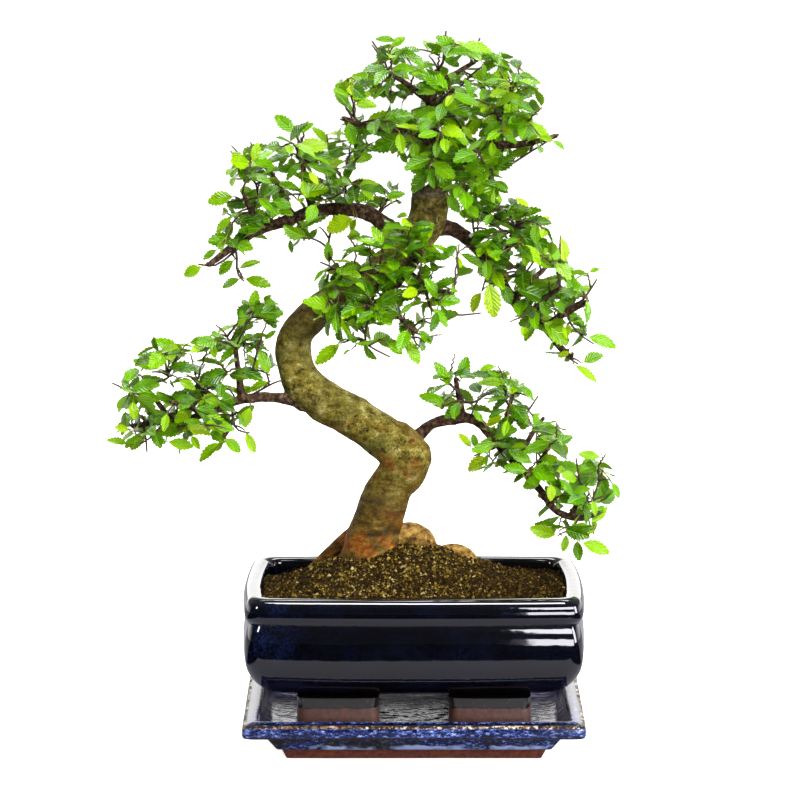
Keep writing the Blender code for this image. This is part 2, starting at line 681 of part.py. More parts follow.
def main():
    clear_scene()
    parts = bpy.data.collections.new("chinese_elm_bonsai")
    bpy.context.scene.collection.children.link(parts)
    tray = build_tray(parts)
    pot = build_pot(parts)
    meshes = [build_drain_mesh(-1, "drain_mesh_left", parts), build_drain_mesh(1, "drain_mesh_right", parts)]
    wood, in_soil = build_wood(parts)
    soil = build_soil(parts, in_soil)
    taken = Taken()
    for thing in (pot, soil, wood):
        taken.add(tree_of(thing), object_points(thing))
    sprays = build_sprays(parts, tree_of(wood), taken)
    finish(tray, material("blue_glaze", (0.05, 0.08, 0.3), 0.25), True)
    finish(pot, material("navy_glaze", (0.01, 0.012, 0.05), 0.15), True)
    finish(soil, material("soil_mix", (0.06, 0.045, 0.02), 0.95))
    finish(wood, material("elm_bark", (0.22, 0.17, 0.09), 0.85), True)
    plastic = material("mesh_plastic", (0.03, 0.03, 0.03), 0.6)
    for thing in meshes:
        finish(thing, plastic)
    leaf = material("elm_leaf", (0.12, 0.35, 0.02), 0.45)
    for thing in sprays:
        finish(thing, leaf)
    total = sum(sum(len(p.vertices) - 2 for p in thing.data.polygons) for thing in parts.objects)
    print("nodes", len(parts.objects), "triangles", total)


main()
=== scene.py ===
"""Looks of a Chinese elm bonsai in a glazed pot on its tray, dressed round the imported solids.

Lengths in the tables are millimetres and turn to metres as each mesh is made.
"""

import math

import bpy
import numpy as np
from mathutils import Matrix, Vector


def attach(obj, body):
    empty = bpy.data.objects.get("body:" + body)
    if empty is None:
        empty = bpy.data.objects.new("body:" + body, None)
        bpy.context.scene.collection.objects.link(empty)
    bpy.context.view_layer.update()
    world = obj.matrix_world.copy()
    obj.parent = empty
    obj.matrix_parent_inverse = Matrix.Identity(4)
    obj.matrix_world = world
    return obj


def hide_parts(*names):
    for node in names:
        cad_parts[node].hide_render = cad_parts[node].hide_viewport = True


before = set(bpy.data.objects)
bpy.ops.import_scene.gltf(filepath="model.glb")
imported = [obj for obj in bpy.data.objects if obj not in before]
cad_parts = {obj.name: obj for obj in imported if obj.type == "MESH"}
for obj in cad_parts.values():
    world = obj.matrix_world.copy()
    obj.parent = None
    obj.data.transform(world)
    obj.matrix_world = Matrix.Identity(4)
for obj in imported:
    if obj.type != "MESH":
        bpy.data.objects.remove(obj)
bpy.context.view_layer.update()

MM = 0.001
SEED = 23

# The camera: the picture's own viewpoint, and the lens that gives two pixels a millimetre.
EYE = np.array([-7.0, -2200.0, 518.0])
PITCH = math.radians(8.87)
LENS = 198.0
SENSOR = 36.0
FOCAL_PIXELS = 4400.0
PICTURE_MIDDLE = 400.0
CLIP_END = 60.0

# The studio. In millimetres the floor's half size, and between which places it turns dark in the glaze: out
# to the sides where it lies ahead of the pot's back, and far in front. In metres the pot's right shoulder,
# which the strip lights face, and their distance.
FLOOR_HALF = 20000.0
DARK_BESIDE = (175, 200)
DARK_AHEAD = (60, 20)
DARK_FRONT = (-236, -222)
SHOULDER = np.array([0.065, -0.06, 0.066])
STRIP_DISTANCE = 1.7

# Tray and pot: their half sizes in plan, and their sections as inset from the outside and height.
TRAY_HALF_X = 85.5
TRAY_HALF_Y = 69.0
TRAY_CORNER = 3.0
TRAY_FLOOR = 12.3
TRAY_OUTSIDE = [(22.5, 0.0), (21.5, 0.3), (19.2, 5.2), (18.6, 5.6), (17.0, 5.7), (16.3, 6.2), (11.0, 13.4),
                (10.2, 14.0), (2.4, 14.3), (0.6, 14.9), (0.0, 16.2), (0.0, 19.6), (0.5, 20.8)]
TRAY_INSIDE = [(1.4, 21.3), (5.8, 22.4), (7.0, 22.3), (7.7, 21.4), (9.0, 18.5), (12.6, 14.0), (14.6, 12.8),
               (17.0, TRAY_FLOOR)]
TRAY_STEP = 1.1
TRAY_FLOOR_RINGS = 34
TRAY_WAVER = 0.12
TRAY_SHARP = math.radians(38)
HAMMER_DEPTH = 0.28
CALM_EDGE = 72.0
CALM_WIDTH = 20.0
POT_HALF_X = 86.5
POT_HALF_Y = 62.5
POT_CORNER = 9.5
POT_BOW = 2.0
POT_BASE = 31.0
POT_FLOOR = 37.0
POT_EDGE = 70.0
POT_RUNS = [
    [(27.0, POT_BASE), (20.5, 31.6), (16.0, 33.0), (11.5, 34.8), (8.0, 37.0), (5.2, 39.6), (3.0, 42.6),
     (1.4, 45.8), (0.4, 49.6), (0.0, 54.0), (0.0, 57.0), (0.12, 60.0), (0.42, 63.0), (0.98, 66.0),
     (1.5, 68.0), (2.2, POT_EDGE)],
    [(2.2, POT_EDGE), (1.4, 71.1), (0.72, 72.3), (0.24, 73.5), (0.0, 75.0), (0.1, 76.8), (0.4, 78.6),
     (1.0, 80.6), (1.9, 82.2), (3.4, 83.1), (5.4, 83.3), (7.8, 83.1), (9.0, 82.4), (9.6, 80.6), (9.8, 74.0),
     (10.4, 52.0), (13.0, 42.5), (18.0, 38.4), (26.0, POT_FLOOR)]]
POT_STEP = 1.3
POT_WAVER = 0.15
POT_SHARP = math.radians(50)
GLAZE_IOR = 1.52
FOOT_SIZE = (40.0, 15.0, 20.0)
FOOT_CORNER = 4.0
FOOT_GAP = 0.3
FOOT_X = 38.0
FOOT_Y = 43.0
DRAIN_X = 34.0
DRAIN_RADIUS = 6.0
DRAIN_SIDES = 32
DRAIN_SPARE = 8.0

# Soil: its bed follows the pot's inside from the floor up; its level, mound and grains; where it is golden.
SOIL_BED = POT_RUNS[1][-1:-5:-1]
SOIL_RINGS = 60
SOIL_HALF_DEPTH = 52.0
SOIL_LEVEL = 79.0
SOIL_FRONT_RISE = 2.0
SOIL_BACK_LEFT_DIP = 5.0
DIP_START = 10.0
DIP_WIDTH = 40.0
MOUND_HEIGHT = 22.0
MOUND_X = -5.0
MOUND_SPREAD = (52.0, 34.0)
GRAINS = 19000
GRAIN_INSET = 10.6
GRAIN_SIZE = (0.3, 1.4)
GRAIN_CORNER = 7.0
GOLD_X = -14.0
GOLD_SPREAD = 48.0

# Wood, as x, z, depth and radius, laid out as seen from the front.
TRUNK_STEP = 3.0
LIMB_STEP = 2.5
WOOD_VOXEL = 0.79
# How far a rod of old and of young wood wanders, and its sides.
OLD_ROD = (0.25, 18)
YOUNG_ROD = (0.7, 10)
# The stump's cut face: how deep it reaches from the top and how far from the middle.
CUT_DEPTH = 1.4
CUT_REACH = 10.5
# The dome on it: how much it rises in the middle, how much of that is lost at its reach, where it falls no
# more, and how far out, below and above the wood follows it.
DOME_RISE = 1.8
DOME_FALL = 4.4
DOME_REACH = 9.5
DOME_LOWEST = 12.0
DOME_OUT = 14.0
DOME_BELOW = 9.0
DOME_ABOVE = 6.0
TRUNK = [(-24, 76, 0, 17), (-23, 88, 0, 15.5), (-22, 99, 0, 13.8), (-17, 117, 0, 12), (-11, 132, 0, 11.4),
         (-4.5, 142.5, 0, 11.6), (-15, 155, -1, 10.9), (-30, 165.5, -3, 10.6), (-46, 174.5, -4, 10.3),
         (-57, 185, -3, 9.8), (-61, 198, -1, 9.4), (-59, 209, 1, 8.6), (-51, 218, 3, 8.4),
         (-36, 228, 4, 8.4), (-19, 239, 3, 8.6), (-4, 251, 1, 8.8), (6, 265, 0, 9.2), (9, 281.6, 0, 9.8)]
ELBOW = [(-10, 131, 0, 9.8), (-4.5, 140, 0, 11.8), (-3.5, 145, 0, 12.6), (-6, 150, 0, 12),
         (-15, 156, 0, 9.6)]
ROOTS = {
    "left": [(-26, 108, 8, 5.4), (-34, 102, 10, 4.6), (-42, 95.5, 12, 3.7), (-50, 89, 13, 2.9),
             (-58, 82, 14, 2.4)],
    "back": [(-18, 103, 8, 8), (-14, 97, 18, 6), (-8, 86, 30, 3)],
    "knuckle": [(-10, 104, 4, 6), (-2, 105, 4, 6.8), (4, 103, 4, 6.2), (9, 92, 4, 4)],
    "far_knuckle": [(10, 93, 6, 4), (18, 95.5, 4, 5.2), (26, 94, 2, 5), (33, 84, 0, 3)],
}
LIMBS = {
    "left_low": [(-54, 173, -4, 5), (-64, 175, -6, 3), (-74, 176, -8, 2.6), (-86, 175, -9, 2.4),
                 (-96, 171, -10, 2.2), (-106, 168, -9, 2), (-120, 163, -6, 1.8), (-132, 163, -4, 1.6),
                 (-143, 161, -2, 1.5)],
    "left_high": [(-2, 253, 2, 5), (-14, 263, 6, 4.4), (-24, 270, 9, 4), (-36, 272, 12, 3.6),
                  (-50, 271, 13, 3.2), (-64, 266, 12, 2.8), (-78, 261, 9, 2.4), (-92, 252, 4, 2),
                  (-104, 243, 0, 1.5)],
    "right_low": [(-9, 147, 8, 4.5), (2, 156, 13, 3.4), (10, 163, 15, 2.8), (20, 165, 15, 3),
                  (29, 165, 13, 2.8), (39, 156, 10, 2.4), (50, 144, 7, 2.2), (62, 131, 3, 2),
                  (74, 117, 0, 1.8), (86, 114, -3, 1.5), (95, 117, -5, 1.3)],
    "right_high": [(6, 262, 4, 5), (18, 262, 9, 3.8), (30, 254, 12, 3.2), (42, 239, 11, 3),
                   (50, 226, 8, 2.8), (58, 218, 5, 2.5), (66, 213, 2, 2.1), (76, 219, -2, 1.8),
                   (88, 225, -5, 1.4)],
    "centre": [(2, 258, -6, 4), (0, 246, -18, 3), (-4, 240, -28, 2.5), (-12, 230, -36, 2.1),
               (-22, 221, -38, 1.6)],
    "crown": [(9, 276, 0, 6), (14, 288, 5, 4), (12, 300, 6, 3.4), (8, 314, 4, 3), (9, 328, 0, 2.5),
              (12, 342, -3, 1.8)],
    "crown_right": [(13, 290, 5, 3), (24, 297, 8, 2.7), (36, 304, 8, 2.4), (49, 304, 4, 2),
                    (62, 306, 0, 1.6), (72, 309, -3, 1.2)],
    "crown_left": [(11, 304, 6, 3), (0, 311, 2, 2.4), (-12, 312, -3, 2), (-25, 314, -7, 1.6),
                   (-36, 318, -9, 1.2)],
}
BRANCHES = {
    "left_low_up": [(-87, 176, -9, 2.2), (-89, 190, -12, 1.6), (-90, 201, -15, 1.2)],
    "left_low_back": [(-98, 171, -10, 1.9), (-104, 178, 6, 1.5), (-112, 182, 20, 1.1)],
    "left_low_front": [(-108, 168, -9, 1.8), (-114, 172, -20, 1.4), (-124, 174, -32, 1.1)],
    "left_low_tip": [(-122, 164, -6, 1.6), (-130, 174, -6, 1.3), (-136, 182, -6, 1.1)],
    "left_high_up": [(-50, 271, 13, 2.4), (-55, 284, 10, 1.8), (-56, 300, 8, 1.3)],
    "left_high_far": [(-62, 267, 12, 2.2), (-66, 281, 20, 1.7), (-74, 292, 28, 1.2)],
    "left_high_front": [(-76, 262, 9, 2), (-82, 272, -6, 1.5), (-86, 280, -18, 1.1)],
    "left_high_back": [(-36, 272, 12, 2.6), (-40, 281, 26, 1.8), (-48, 287, 40, 1.2)],
    "right_low_up": [(24, 166, 14, 2.2), (23, 175, 8, 1.6), (21, 186, 2, 1.2)],
    "right_low_mid": [(44, 151, 9, 2), (47, 164, 2, 1.5), (50, 178, -6, 1.2)],
    "right_low_far": [(52, 142, 6, 1.8), (59, 156, 16, 1.4), (66, 166, 26, 1.1)],
    "right_low_front": [(62, 131, 3, 1.8), (64, 142, -10, 1.4), (68, 150, -22, 1.1)],
    "right_low_end": [(80, 115, -2, 1.5), (86, 128, 0, 1.3), (89, 140, 2, 1.1)],
    "right_high_up": [(40, 242, 11, 2.3), (48, 254, 8, 1.7), (54, 266, 4, 1.2)],
    "right_high_far": [(50, 226, 8, 2.2), (60, 236, 20, 1.6), (68, 244, 32, 1.2)],
    "right_high_down": [(64, 214, 2, 1.8), (72, 204, -2, 1.4), (80, 196, -6, 1.1)],
    "right_high_front": [(58, 218, 5, 2), (66, 226, -10, 1.5), (74, 232, -24, 1.1)],
    "centre_left": [(-6, 238, -30, 1.8), (-20, 240, -34, 1.4), (-34, 240, -34, 1.1)],
    "centre_right": [(-3, 240, -27, 1.9), (8, 232, -36, 1.4), (20, 229, -42, 1.1)],
    "centre_down": [(-12, 230, -36, 1.7), (-8, 218, -40, 1.3), (2, 209, -42, 1.1)],
    "crown_back": [(9, 312, 4, 2.4), (12, 322, 20, 1.8), (14, 332, 36, 1.2)],
    "crown_front": [(9, 318, 3, 2.3), (14, 326, -14, 1.7), (20, 332, -30, 1.2)],
    "crown_top_left": [(8, 326, 0, 1.9), (-4, 335, 4, 1.5), (-16, 342, 8, 1.1)],
    "crown_top_right": [(10, 334, -1, 1.8), (20, 340, 2, 1.4), (31, 346, 6, 1.1)],
    "crown_right_up": [(42, 305, 6, 1.9), (46, 316, 12, 1.4), (54, 325, 18, 1.1)],
    "crown_low": [(24, 297, 8, 2), (32, 290, -6, 1.5), (38, 288, -20, 1.1)],
}
# Each pad's depth and half depth, and its leafy patches: where the picture shows them, in its pixels, their
# half sizes, and how full they are.
PADS = {
    "crown": (2, 34, [
        (400, 76, 30, 30, 1), (450, 72, 34, 32, 1), (490, 82, 28, 28, 1), (524, 96, 14, 18, 0.5),
        (360, 88, 18, 12, 1), (430, 120, 34, 28, 1), (480, 125, 32, 28, 1), (520, 140, 22, 12, 1),
        (413, 150, 20, 12, 1), (468, 172, 28, 20, 1), (442, 166, 16, 14, 1), (365, 132, 26, 9, 0.9),
        (485, 192, 18, 10, 0.8)]),
    "left_high": (8, 26, [
        (292, 142, 18, 16, 1), (272, 163, 22, 16, 1), (318, 160, 20, 16, 1), (247, 172, 12, 16, 0.7),
        (278, 192, 26, 12, 1), (246, 212, 18, 14, 1), (328, 190, 24, 12, 1), (358, 184, 14, 14, 0.9),
        (234, 236, 15, 12, 0.9), (262, 216, 16, 12, 1), (297, 228, 15, 12, 0.9), (352, 142, 22, 9, 0.8),
        (391, 205, 7, 12, 0.8)]),
    "centre": (-34, 13, [
        (405, 238, 22, 18, 1), (372, 258, 24, 20, 1), (416, 275, 26, 20, 1), (345, 285, 26, 18, 1),
        (385, 300, 36, 20, 1), (334, 308, 20, 12, 1), (432, 305, 20, 14, 0.9), (365, 338, 30, 14, 0.9),
        (412, 336, 18, 14, 0.8), (455, 268, 16, 14, 0.5)]),
    "right_high": (2, 28, [
        (485, 212, 26, 16, 1), (500, 240, 28, 20, 1), (532, 235, 18, 20, 0.8), (505, 265, 22, 16, 0.9),
        (543, 265, 22, 18, 1), (545, 295, 20, 16, 1), (570, 288, 14, 18, 0.9), (536, 316, 14, 16, 0.9),
        (566, 325, 18, 12, 0.8), (562, 346, 10, 10, 0.7)]),
    "left_low": (-4, 26, [
        (262, 314, 16, 14, 1), (256, 340, 18, 12, 1.3), (262, 368, 10, 16, 0.8), (172, 350, 16, 11, 1.3),
        (212, 346, 22, 10, 1.3), (178, 372, 18, 10, 1.3), (142, 368, 12, 12, 0.8), (210, 388, 22, 12, 1.3),
        (138, 402, 16, 12, 1.3), (165, 403, 20, 12, 1.3), (200, 408, 22, 10, 1.3), (233, 408, 14, 10, 1),
        (142, 430, 20, 12, 1), (178, 436, 16, 9, 1), (212, 432, 18, 10, 0.9)]),
    "right_low": (0, 25, [
        (450, 376, 14, 8, 0.7), (450, 400, 20, 11, 1), (490, 388, 20, 13, 1), (512, 403, 20, 16, 1),
        (522, 435, 18, 16, 1), (548, 434, 16, 11, 0.8), (500, 445, 20, 13, 1), (484, 460, 16, 8, 0.6),
        (530, 466, 12, 16, 0.9), (560, 463, 20, 14, 1), (588, 474, 18, 12, 1), (594, 496, 16, 12, 0.9),
        (564, 498, 16, 12, 0.9), (562, 522, 18, 11, 0.9), (582, 534, 14, 10, 0.8)]),
}
# Leaves that stand clear of the pads, as the picture's pixels at stalk and tip, and how yellow they are.
CLEAR_LEAVES = {
    "crown": [
        (395, 41, 376, 38, 0.4), (457, 51, 438, 34, 0.4), (345, 106, 338, 83, 0.5), (491, 87, 518, 99, 0.95),
        (512, 87, 526, 72, 0.35), (527, 85, 540, 81, 0.6), (528, 141, 543, 125, 0.5),
        (553, 141, 565, 149, 0.5), (429, 171, 410, 190, 0.35), (434, 160, 452, 188, 0.5),
        (471, 189, 504, 197, 0.6), (497, 127, 514, 134, 0.6), (396, 114, 416, 126, 0.2),
        (392, 46, 404, 37, 0.5), (376, 82, 352, 73, 0.6), (372, 94, 352, 98, 0.6), (480, 58, 497, 54, 0.3),
        (431, 54, 448, 40, 0.5), (470, 176, 482, 158, 0.3), (447, 196, 460, 212, 0.4)],
    "left_high": [
        (262, 228, 238, 231, 0.35), (233, 244, 249, 229, 0.2), (254, 212, 263, 227, 0.2),
        (270, 223, 254, 209, 0.4), (294, 132, 275, 115, 0.45), (297, 132, 312, 123, 0.5),
        (232, 197, 207, 200, 0.6), (231, 218, 215, 232, 0.6), (232, 239, 208, 240, 0.35),
        (201, 267, 183, 275, 0.6), (216, 250, 203, 259, 0.4), (233, 261, 218, 274, 0.5),
        (240, 268, 260, 260, 0.6), (239, 279, 222, 287, 0.5), (246, 279, 271, 285, 0.6),
        (329, 262, 328, 243, 0.5), (319, 167, 343, 161, 0.8), (302, 228, 321, 215, 0.3),
        (352, 219, 325, 229, 0.85), (356, 219, 350, 231, 0.8), (386, 197, 405, 193, 0.5),
        (317, 229, 308, 240, 0.2), (290, 240, 292, 253, 0.2), (238, 158, 234, 172, 0.7)],
    "centre": [
        (403, 257, 427, 219, 0.45), (337, 309, 303, 299, 0.6), (339, 345, 315, 364, 0.7),
        (432, 289, 457, 278, 0.3), (429, 300, 460, 299, 0.45), (433, 309, 450, 325, 0.5),
        (405, 341, 422, 363, 0.6), (419, 331, 432, 343, 0.5), (457, 246, 441, 259, 0.3),
        (362, 277, 336, 270, 0.6), (383, 246, 372, 226, 0.6), (350, 272, 332, 284, 0.5)],
    "right_high": [
        (480, 249, 511, 257, 0.15), (493, 259, 497, 281, 0.2), (461, 254, 484, 268, 0.5),
        (521, 299, 539, 321, 0.15), (511, 238, 530, 255, 0.3), (502, 285, 512, 304, 0.25),
        (489, 233, 470, 243, 0.3), (561, 238, 566, 262, 0.9), (590, 272, 599, 268, 0.6),
        (536, 320, 524, 341, 0.6), (544, 323, 571, 342, 0.6), (565, 312, 587, 327, 0.4),
        (576, 366, 597, 381, 0.7), (589, 337, 617, 345, 0.5), (570, 353, 557, 356, 0.9),
        (517, 290, 553, 299, 0.2), (575, 296, 569, 273, 0.35), (503, 219, 514, 207, 0.4),
        (529, 209, 516, 198, 0.95), (531, 228, 549, 216, 0.95), (481, 293, 470, 312, 0.9),
        (489, 284, 495, 318, 0.85), (584, 362, 602, 353, 0.5)],
    "left_low": [
        (253, 311, 256, 290, 0.55), (270, 312, 268, 296, 0.4), (269, 373, 259, 351, 0.55),
        (268, 382, 248, 389, 0.6), (180, 351, 154, 339, 0.5), (180, 355, 157, 352, 0.5),
        (157, 369, 133, 360, 0.5), (122, 386, 131, 374, 0.6), (142, 398, 116, 406, 0.5),
        (127, 444, 107, 438, 0.6), (146, 433, 128, 449, 0.6), (152, 436, 166, 443, 0.5),
        (169, 442, 194, 446, 0.6), (220, 443, 198, 460, 0.6), (225, 439, 241, 452, 0.5),
        (246, 433, 255, 453, 0.75), (182, 431, 209, 428, 0.85), (250, 408, 243, 427, 0.7),
        (190, 343, 209, 338, 0.4), (246, 318, 238, 325, 0.6)],
    "right_low": [
        (447, 380, 436, 362, 0.5), (461, 379, 467, 357, 0.4), (444, 402, 419, 395, 0.5),
        (459, 407, 444, 417, 0.3), (487, 458, 466, 469, 0.9), (471, 447, 459, 433, 0.85),
        (476, 448, 473, 434, 0.4), (502, 416, 486, 424, 0.9), (533, 425, 562, 434, 0.35),
        (552, 447, 572, 435, 0.3), (541, 480, 522, 487, 0.5), (546, 482, 568, 488, 0.4),
        (555, 535, 530, 528, 0.7), (566, 535, 563, 552, 0.6), (577, 541, 579, 561, 0.3),
        (583, 543, 611, 552, 0.6), (612, 483, 620, 498, 0.5), (575, 525, 594, 532, 0.5),
        (508, 383, 490, 369, 0.4), (533, 399, 520, 384, 0.4)],
}
# Thin twigs that show bare against the white, as runs of the picture's pixels.
BARE_TWIGS = {
    "crown": [
        [(389, 73), (383, 58), (372, 41)], [(443, 62), (444, 50), (446, 31)],
        [(470, 66), (472, 57), (480, 38)], [(452, 92), (472, 74), (489, 62)],
        [(505, 108), (518, 94), (532, 85)], [(362, 126), (353, 116), (345, 106)],
        [(366, 130), (352, 124), (340, 119)], [(500, 168), (530, 152), (559, 134)],
        [(497, 121), (510, 117), (523, 112)]],
    "left_high": [
        [(256, 184), (250, 176), (244, 153)], [(262, 182), (248, 179), (236, 179)],
        [(254, 204), (247, 198), (242, 192)], [(256, 198), (242, 200), (228, 202)],
        [(250, 238), (234, 252), (212, 266), (198, 264)], [(234, 252), (239, 276), (244, 281)],
        [(297, 156), (298, 146), (298, 135)], [(378, 215), (386, 206), (398, 200)],
        [(345, 186), (340, 176), (335, 170)], [(333, 262), (345, 272), (352, 277)]],
    "centre": [
        [(400, 296), (428, 290), (450, 290)], [(432, 310), (458, 315), (481, 313)],
        [(368, 345), (380, 352), (390, 357)], [(350, 276), (334, 268), (320, 262)],
        [(412, 330), (415, 342), (424, 350)]],
    "right_high": [
        [(512, 236), (517, 222), (519, 209)], [(514, 234), (520, 226), (524, 219)],
        [(530, 246), (531, 236), (532, 227)], [(526, 272), (532, 264), (538, 255)],
        [(560, 274), (558, 256), (556, 247)], [(566, 310), (580, 302), (588, 300)],
        [(580, 302), (590, 290), (597, 279)], [(552, 340), (566, 356), (578, 364)],
        [(570, 322), (582, 336), (594, 344)], [(472, 212), (474, 232), (478, 250), (487, 268), (482, 291)]],
    "left_low": [
        [(150, 398), (132, 392), (112, 383)], [(150, 394), (148, 388), (142, 377)],
        [(168, 376), (160, 372), (152, 372)], [(144, 424), (146, 440), (147, 452)],
        [(158, 430), (150, 438), (140, 444)], [(232, 410), (232, 424), (222, 442)],
        [(232, 422), (238, 430), (250, 433)], [(230, 342), (224, 332), (216, 325)],
        [(155, 432), (168, 432), (180, 432)], [(250, 372), (256, 356), (258, 342)],
        [(268, 386), (276, 382), (284, 380)]],
    "right_low": [
        [(464, 402), (459, 390), (455, 372)], [(462, 396), (452, 386), (440, 379)],
        [(474, 402), (484, 396), (492, 392)], [(505, 398), (508, 386), (511, 376)],
        [(520, 420), (530, 408), (538, 396)], [(490, 450), (480, 453), (474, 456)],
        [(580, 482), (578, 470), (576, 458)], [(590, 502), (598, 498), (605, 496)],
        [(586, 514), (596, 514), (603, 512)], [(574, 530), (577, 536), (578, 540)],
        [(538, 478), (537, 464), (536, 450)], [(596, 490), (600, 478), (603, 470)]],
}

# Leaves and shoots: a leaf's length, the spread of its width, and its half width and half thickness over its
# length; its teeth, which stand out, draw in between and lean forward by these shares; its stalk; how near
# leaves come to one another and to wood; how far apart the holds lie on the limbs and the leaves on a shoot;
# how long a shoot's leafy stretch is; how many square pixels of a patch go to one shoot, and its margin; how
# many places are tried for a shoot's tip; which share of shoots fork; how many points a shoot has, and how
# far they stand aside.
LEAF_LENGTH = (10.0, 15.5)
LEAF_WIDTHS = (0.82, 1.18)
LEAF_HALF_WIDTH = 0.262
LEAF_HALF_THICKNESS = 0.012
LEAF_SHARP = math.radians(16)
TEETH = 7
STATIONS = 2 * TEETH + 1
TOOTH_OUT = 1.14
TOOTH_IN = 0.9
TOOTH_LEAN = 0.036
STALK = 1.5
LEAF_ROOM = 3.7
WOOD_ROOM = 0.8
HOLD_STEP = 4.0
LEAF_STEP = 3.6
LEAF_TRIES = 8
LEAFY_LENGTH = 21.0
PATCH_PER_SHOOT = 270.0
PATCH_MARGIN = 9.0
GOAL_TRIES = 12
SIDE_TWIG_SHARE = 0.6
SHOOT_POINTS = 9
ZIGZAG = 0.45
# Thickness at both ends, sides, and age from old to tip at both ends.
SHOOT_ROD = ((0.6, 0.34), 6, (0.0, 0.75))
BARE_ROD = ((0.75, 0.42), 6, (0.0, 0.35))
STALK_ROD = ((0.22, 0.22), 4, (1.0, 1.0))


# Shapes

def seen(x, z, depth=0.0):
    """The place behind (x, z) on the trunk's plane, along the line of sight."""
    on_plane = np.array([x, 0.0, z])
    return EYE + (on_plane - EYE) * (1 + depth / -EYE[1])


def from_picture(px, py, depth=0.0):
    """The place that the picture shows at one of its pixels, at this depth behind the trunk's plane."""
    across = (px - PICTURE_MIDDLE) / FOCAL_PIXELS
    up = (PICTURE_MIDDLE - py) / FOCAL_PIXELS
    ray = np.array([across, math.cos(PITCH) + up * math.sin(PITCH), up * math.cos(PITCH) - math.sin(PITCH)])
    return EYE + ray * (depth - EYE[1]) / ray[1]


def to_picture(points):
    """The picture's pixels at which these places show."""
    rel = points - EYE
    ahead = rel[:, 1] * math.cos(PITCH) - rel[:, 2] * math.sin(PITCH)
    up = rel[:, 1] * math.sin(PITCH) + rel[:, 2] * math.cos(PITCH)
    flat = np.column_stack((rel[:, 0], -up)) / ahead[:, None]
    return PICTURE_MIDDLE + FOCAL_PIXELS * flat


def route_in_space(route):
    return np.array([[*seen(x, z, depth), radius] for x, z, depth, radius in route])


def smooth_path(rows, spacing):
    """Rows about every spacing along the cubic Hermite curve, each slope the mean of the steps beside it."""
    rows = np.asarray(rows, float)
    steps = np.linalg.norm(np.diff(rows[:, :3], axis=0), axis=1)
    at = np.concatenate(([0.0], np.cumsum(steps)))
    slope = np.gradient(rows, at, axis=0)
    along = np.linspace(0, at[-1], max(2, round(at[-1] / spacing) + 1))
    i = np.clip(np.searchsorted(at, along, side="right") - 1, 0, len(at) - 2)
    step = (at[i + 1] - at[i])[:, None]
    u = (along - at[i])[:, None] / step
    return ((2 * u**3 - 3 * u**2 + 1) * rows[i] + (u**3 - 2 * u**2 + u) * step * slope[i]
            + (3 * u**2 - 2 * u**3) * rows[i + 1] + (u**3 - u**2) * step * slope[i + 1])


def unit(v):
    return v / np.maximum(np.linalg.norm(v, axis=-1, keepdims=True), 1e-9)


def ripple(points, wavelength, seed, waves=9):
    """A smooth random field from -1 to 1: the mean of sine waves of about one length in random directions."""
    rng = np.random.default_rng(seed)
    way = unit(rng.normal(size=(waves, 3))) * rng.uniform(0.75, 1.35, (waves, 1))
    phase = rng.uniform(0, 2 * math.pi, waves)
    return np.sin(points @ way.T * (2 * math.pi / wavelength) + phase).mean(axis=-1) * 1.8


def new_object(name, data):
    made = bpy.data.objects.new(name, data)
    bpy.context.scene.collection.objects.link(made)
    return made


def mesh_piece(name, points, faces, smooth=True):
    """A mesh object from points in millimetres and an array or list of faces."""
    mesh = bpy.data.meshes.new(name)
    mesh.from_pydata(np.asarray(points, float) * MM, [], faces if isinstance(faces, list) else faces.tolist())
    mesh.update()
    if smooth:
        mesh.shade_smooth()
    return new_object(name, mesh)


def joined(parts):
    """The points and faces of several shapes as those of one."""
    points, faces, start = [], [], 0
    for some, quads in parts:
        points.append(some)
        faces += [[v + start for v in face] for face in quads]
        start += len(some)
    return np.vstack(points), faces


def set_values(piece, name, values, domain="POINT"):
    made = piece.data.attributes.new(name, "FLOAT", domain)
    made.data.foreach_set("value", np.asarray(values, np.float32))


def crease_at(piece, height):
    """Marks as sharp every edge that lies level at this height."""
    mesh = piece.data
    ends = np.empty(len(mesh.edges) * 2, int)
    mesh.edges.foreach_get("vertices", ends)
    level = (np.abs(coordinates(piece)[ends.reshape(-1, 2), 2] - height) < 0.02).all(axis=1)
    sharp = mesh.attributes.get("sharp_edge") or mesh.attributes.new("sharp_edge", "BOOLEAN", "EDGE")
    before = np.empty(len(mesh.edges), bool)
    sharp.data.foreach_get("value", before)
    sharp.data.foreach_set("value", before | level)


def ring_faces(rings, count):
    """Quads between neighbouring rings of count points, and one face over each end."""
    level = np.arange(rings - 1)[:, None] * count
    i = np.arange(count)[None, :]
    j = (i + 1) % count
    quads = np.stack([level + i, level + j, level + count + j, level + count + i], axis=-1).reshape(-1, 4)
    ends = [list(range(count))[::-1], list(range((rings - 1) * count, rings * count))]
    return quads.tolist() + ends


def skin(name, rings):
    """A closed mesh over a stack of rings that all have as many points."""
    return mesh_piece(name, np.reshape(rings, (-1, 3)), ring_faces(len(rings), len(rings[0])))


def rods(paths, radii, sides):
    """Points and faces of round rods: each ring is its path's point plus radius times the turning normal."""
    paths, radii = np.asarray(paths, float), np.asarray(radii, float)
    along = unit(np.gradient(paths, axis=1))
    across = np.linalg.svd(along)[2][:, 2, :][:, None, :]
    first = unit(np.cross(along, across))
    second = np.cross(along, first)
    turn = np.arange(sides) / sides * 2 * math.pi
    ring = (np.cos(turn)[:, None] * first[:, :, None, :] + np.sin(turn)[:, None] * second[:, :, None, :])
    points = paths[:, :, None, :] + radii[:, :, None, None] * ring
    each = paths.shape[1] * sides
    one = ring_faces(paths.shape[1], sides)
    faces = [[v + k * each for v in face] for k in range(len(paths)) for face in one]
    return points.reshape(-1, 3), faces


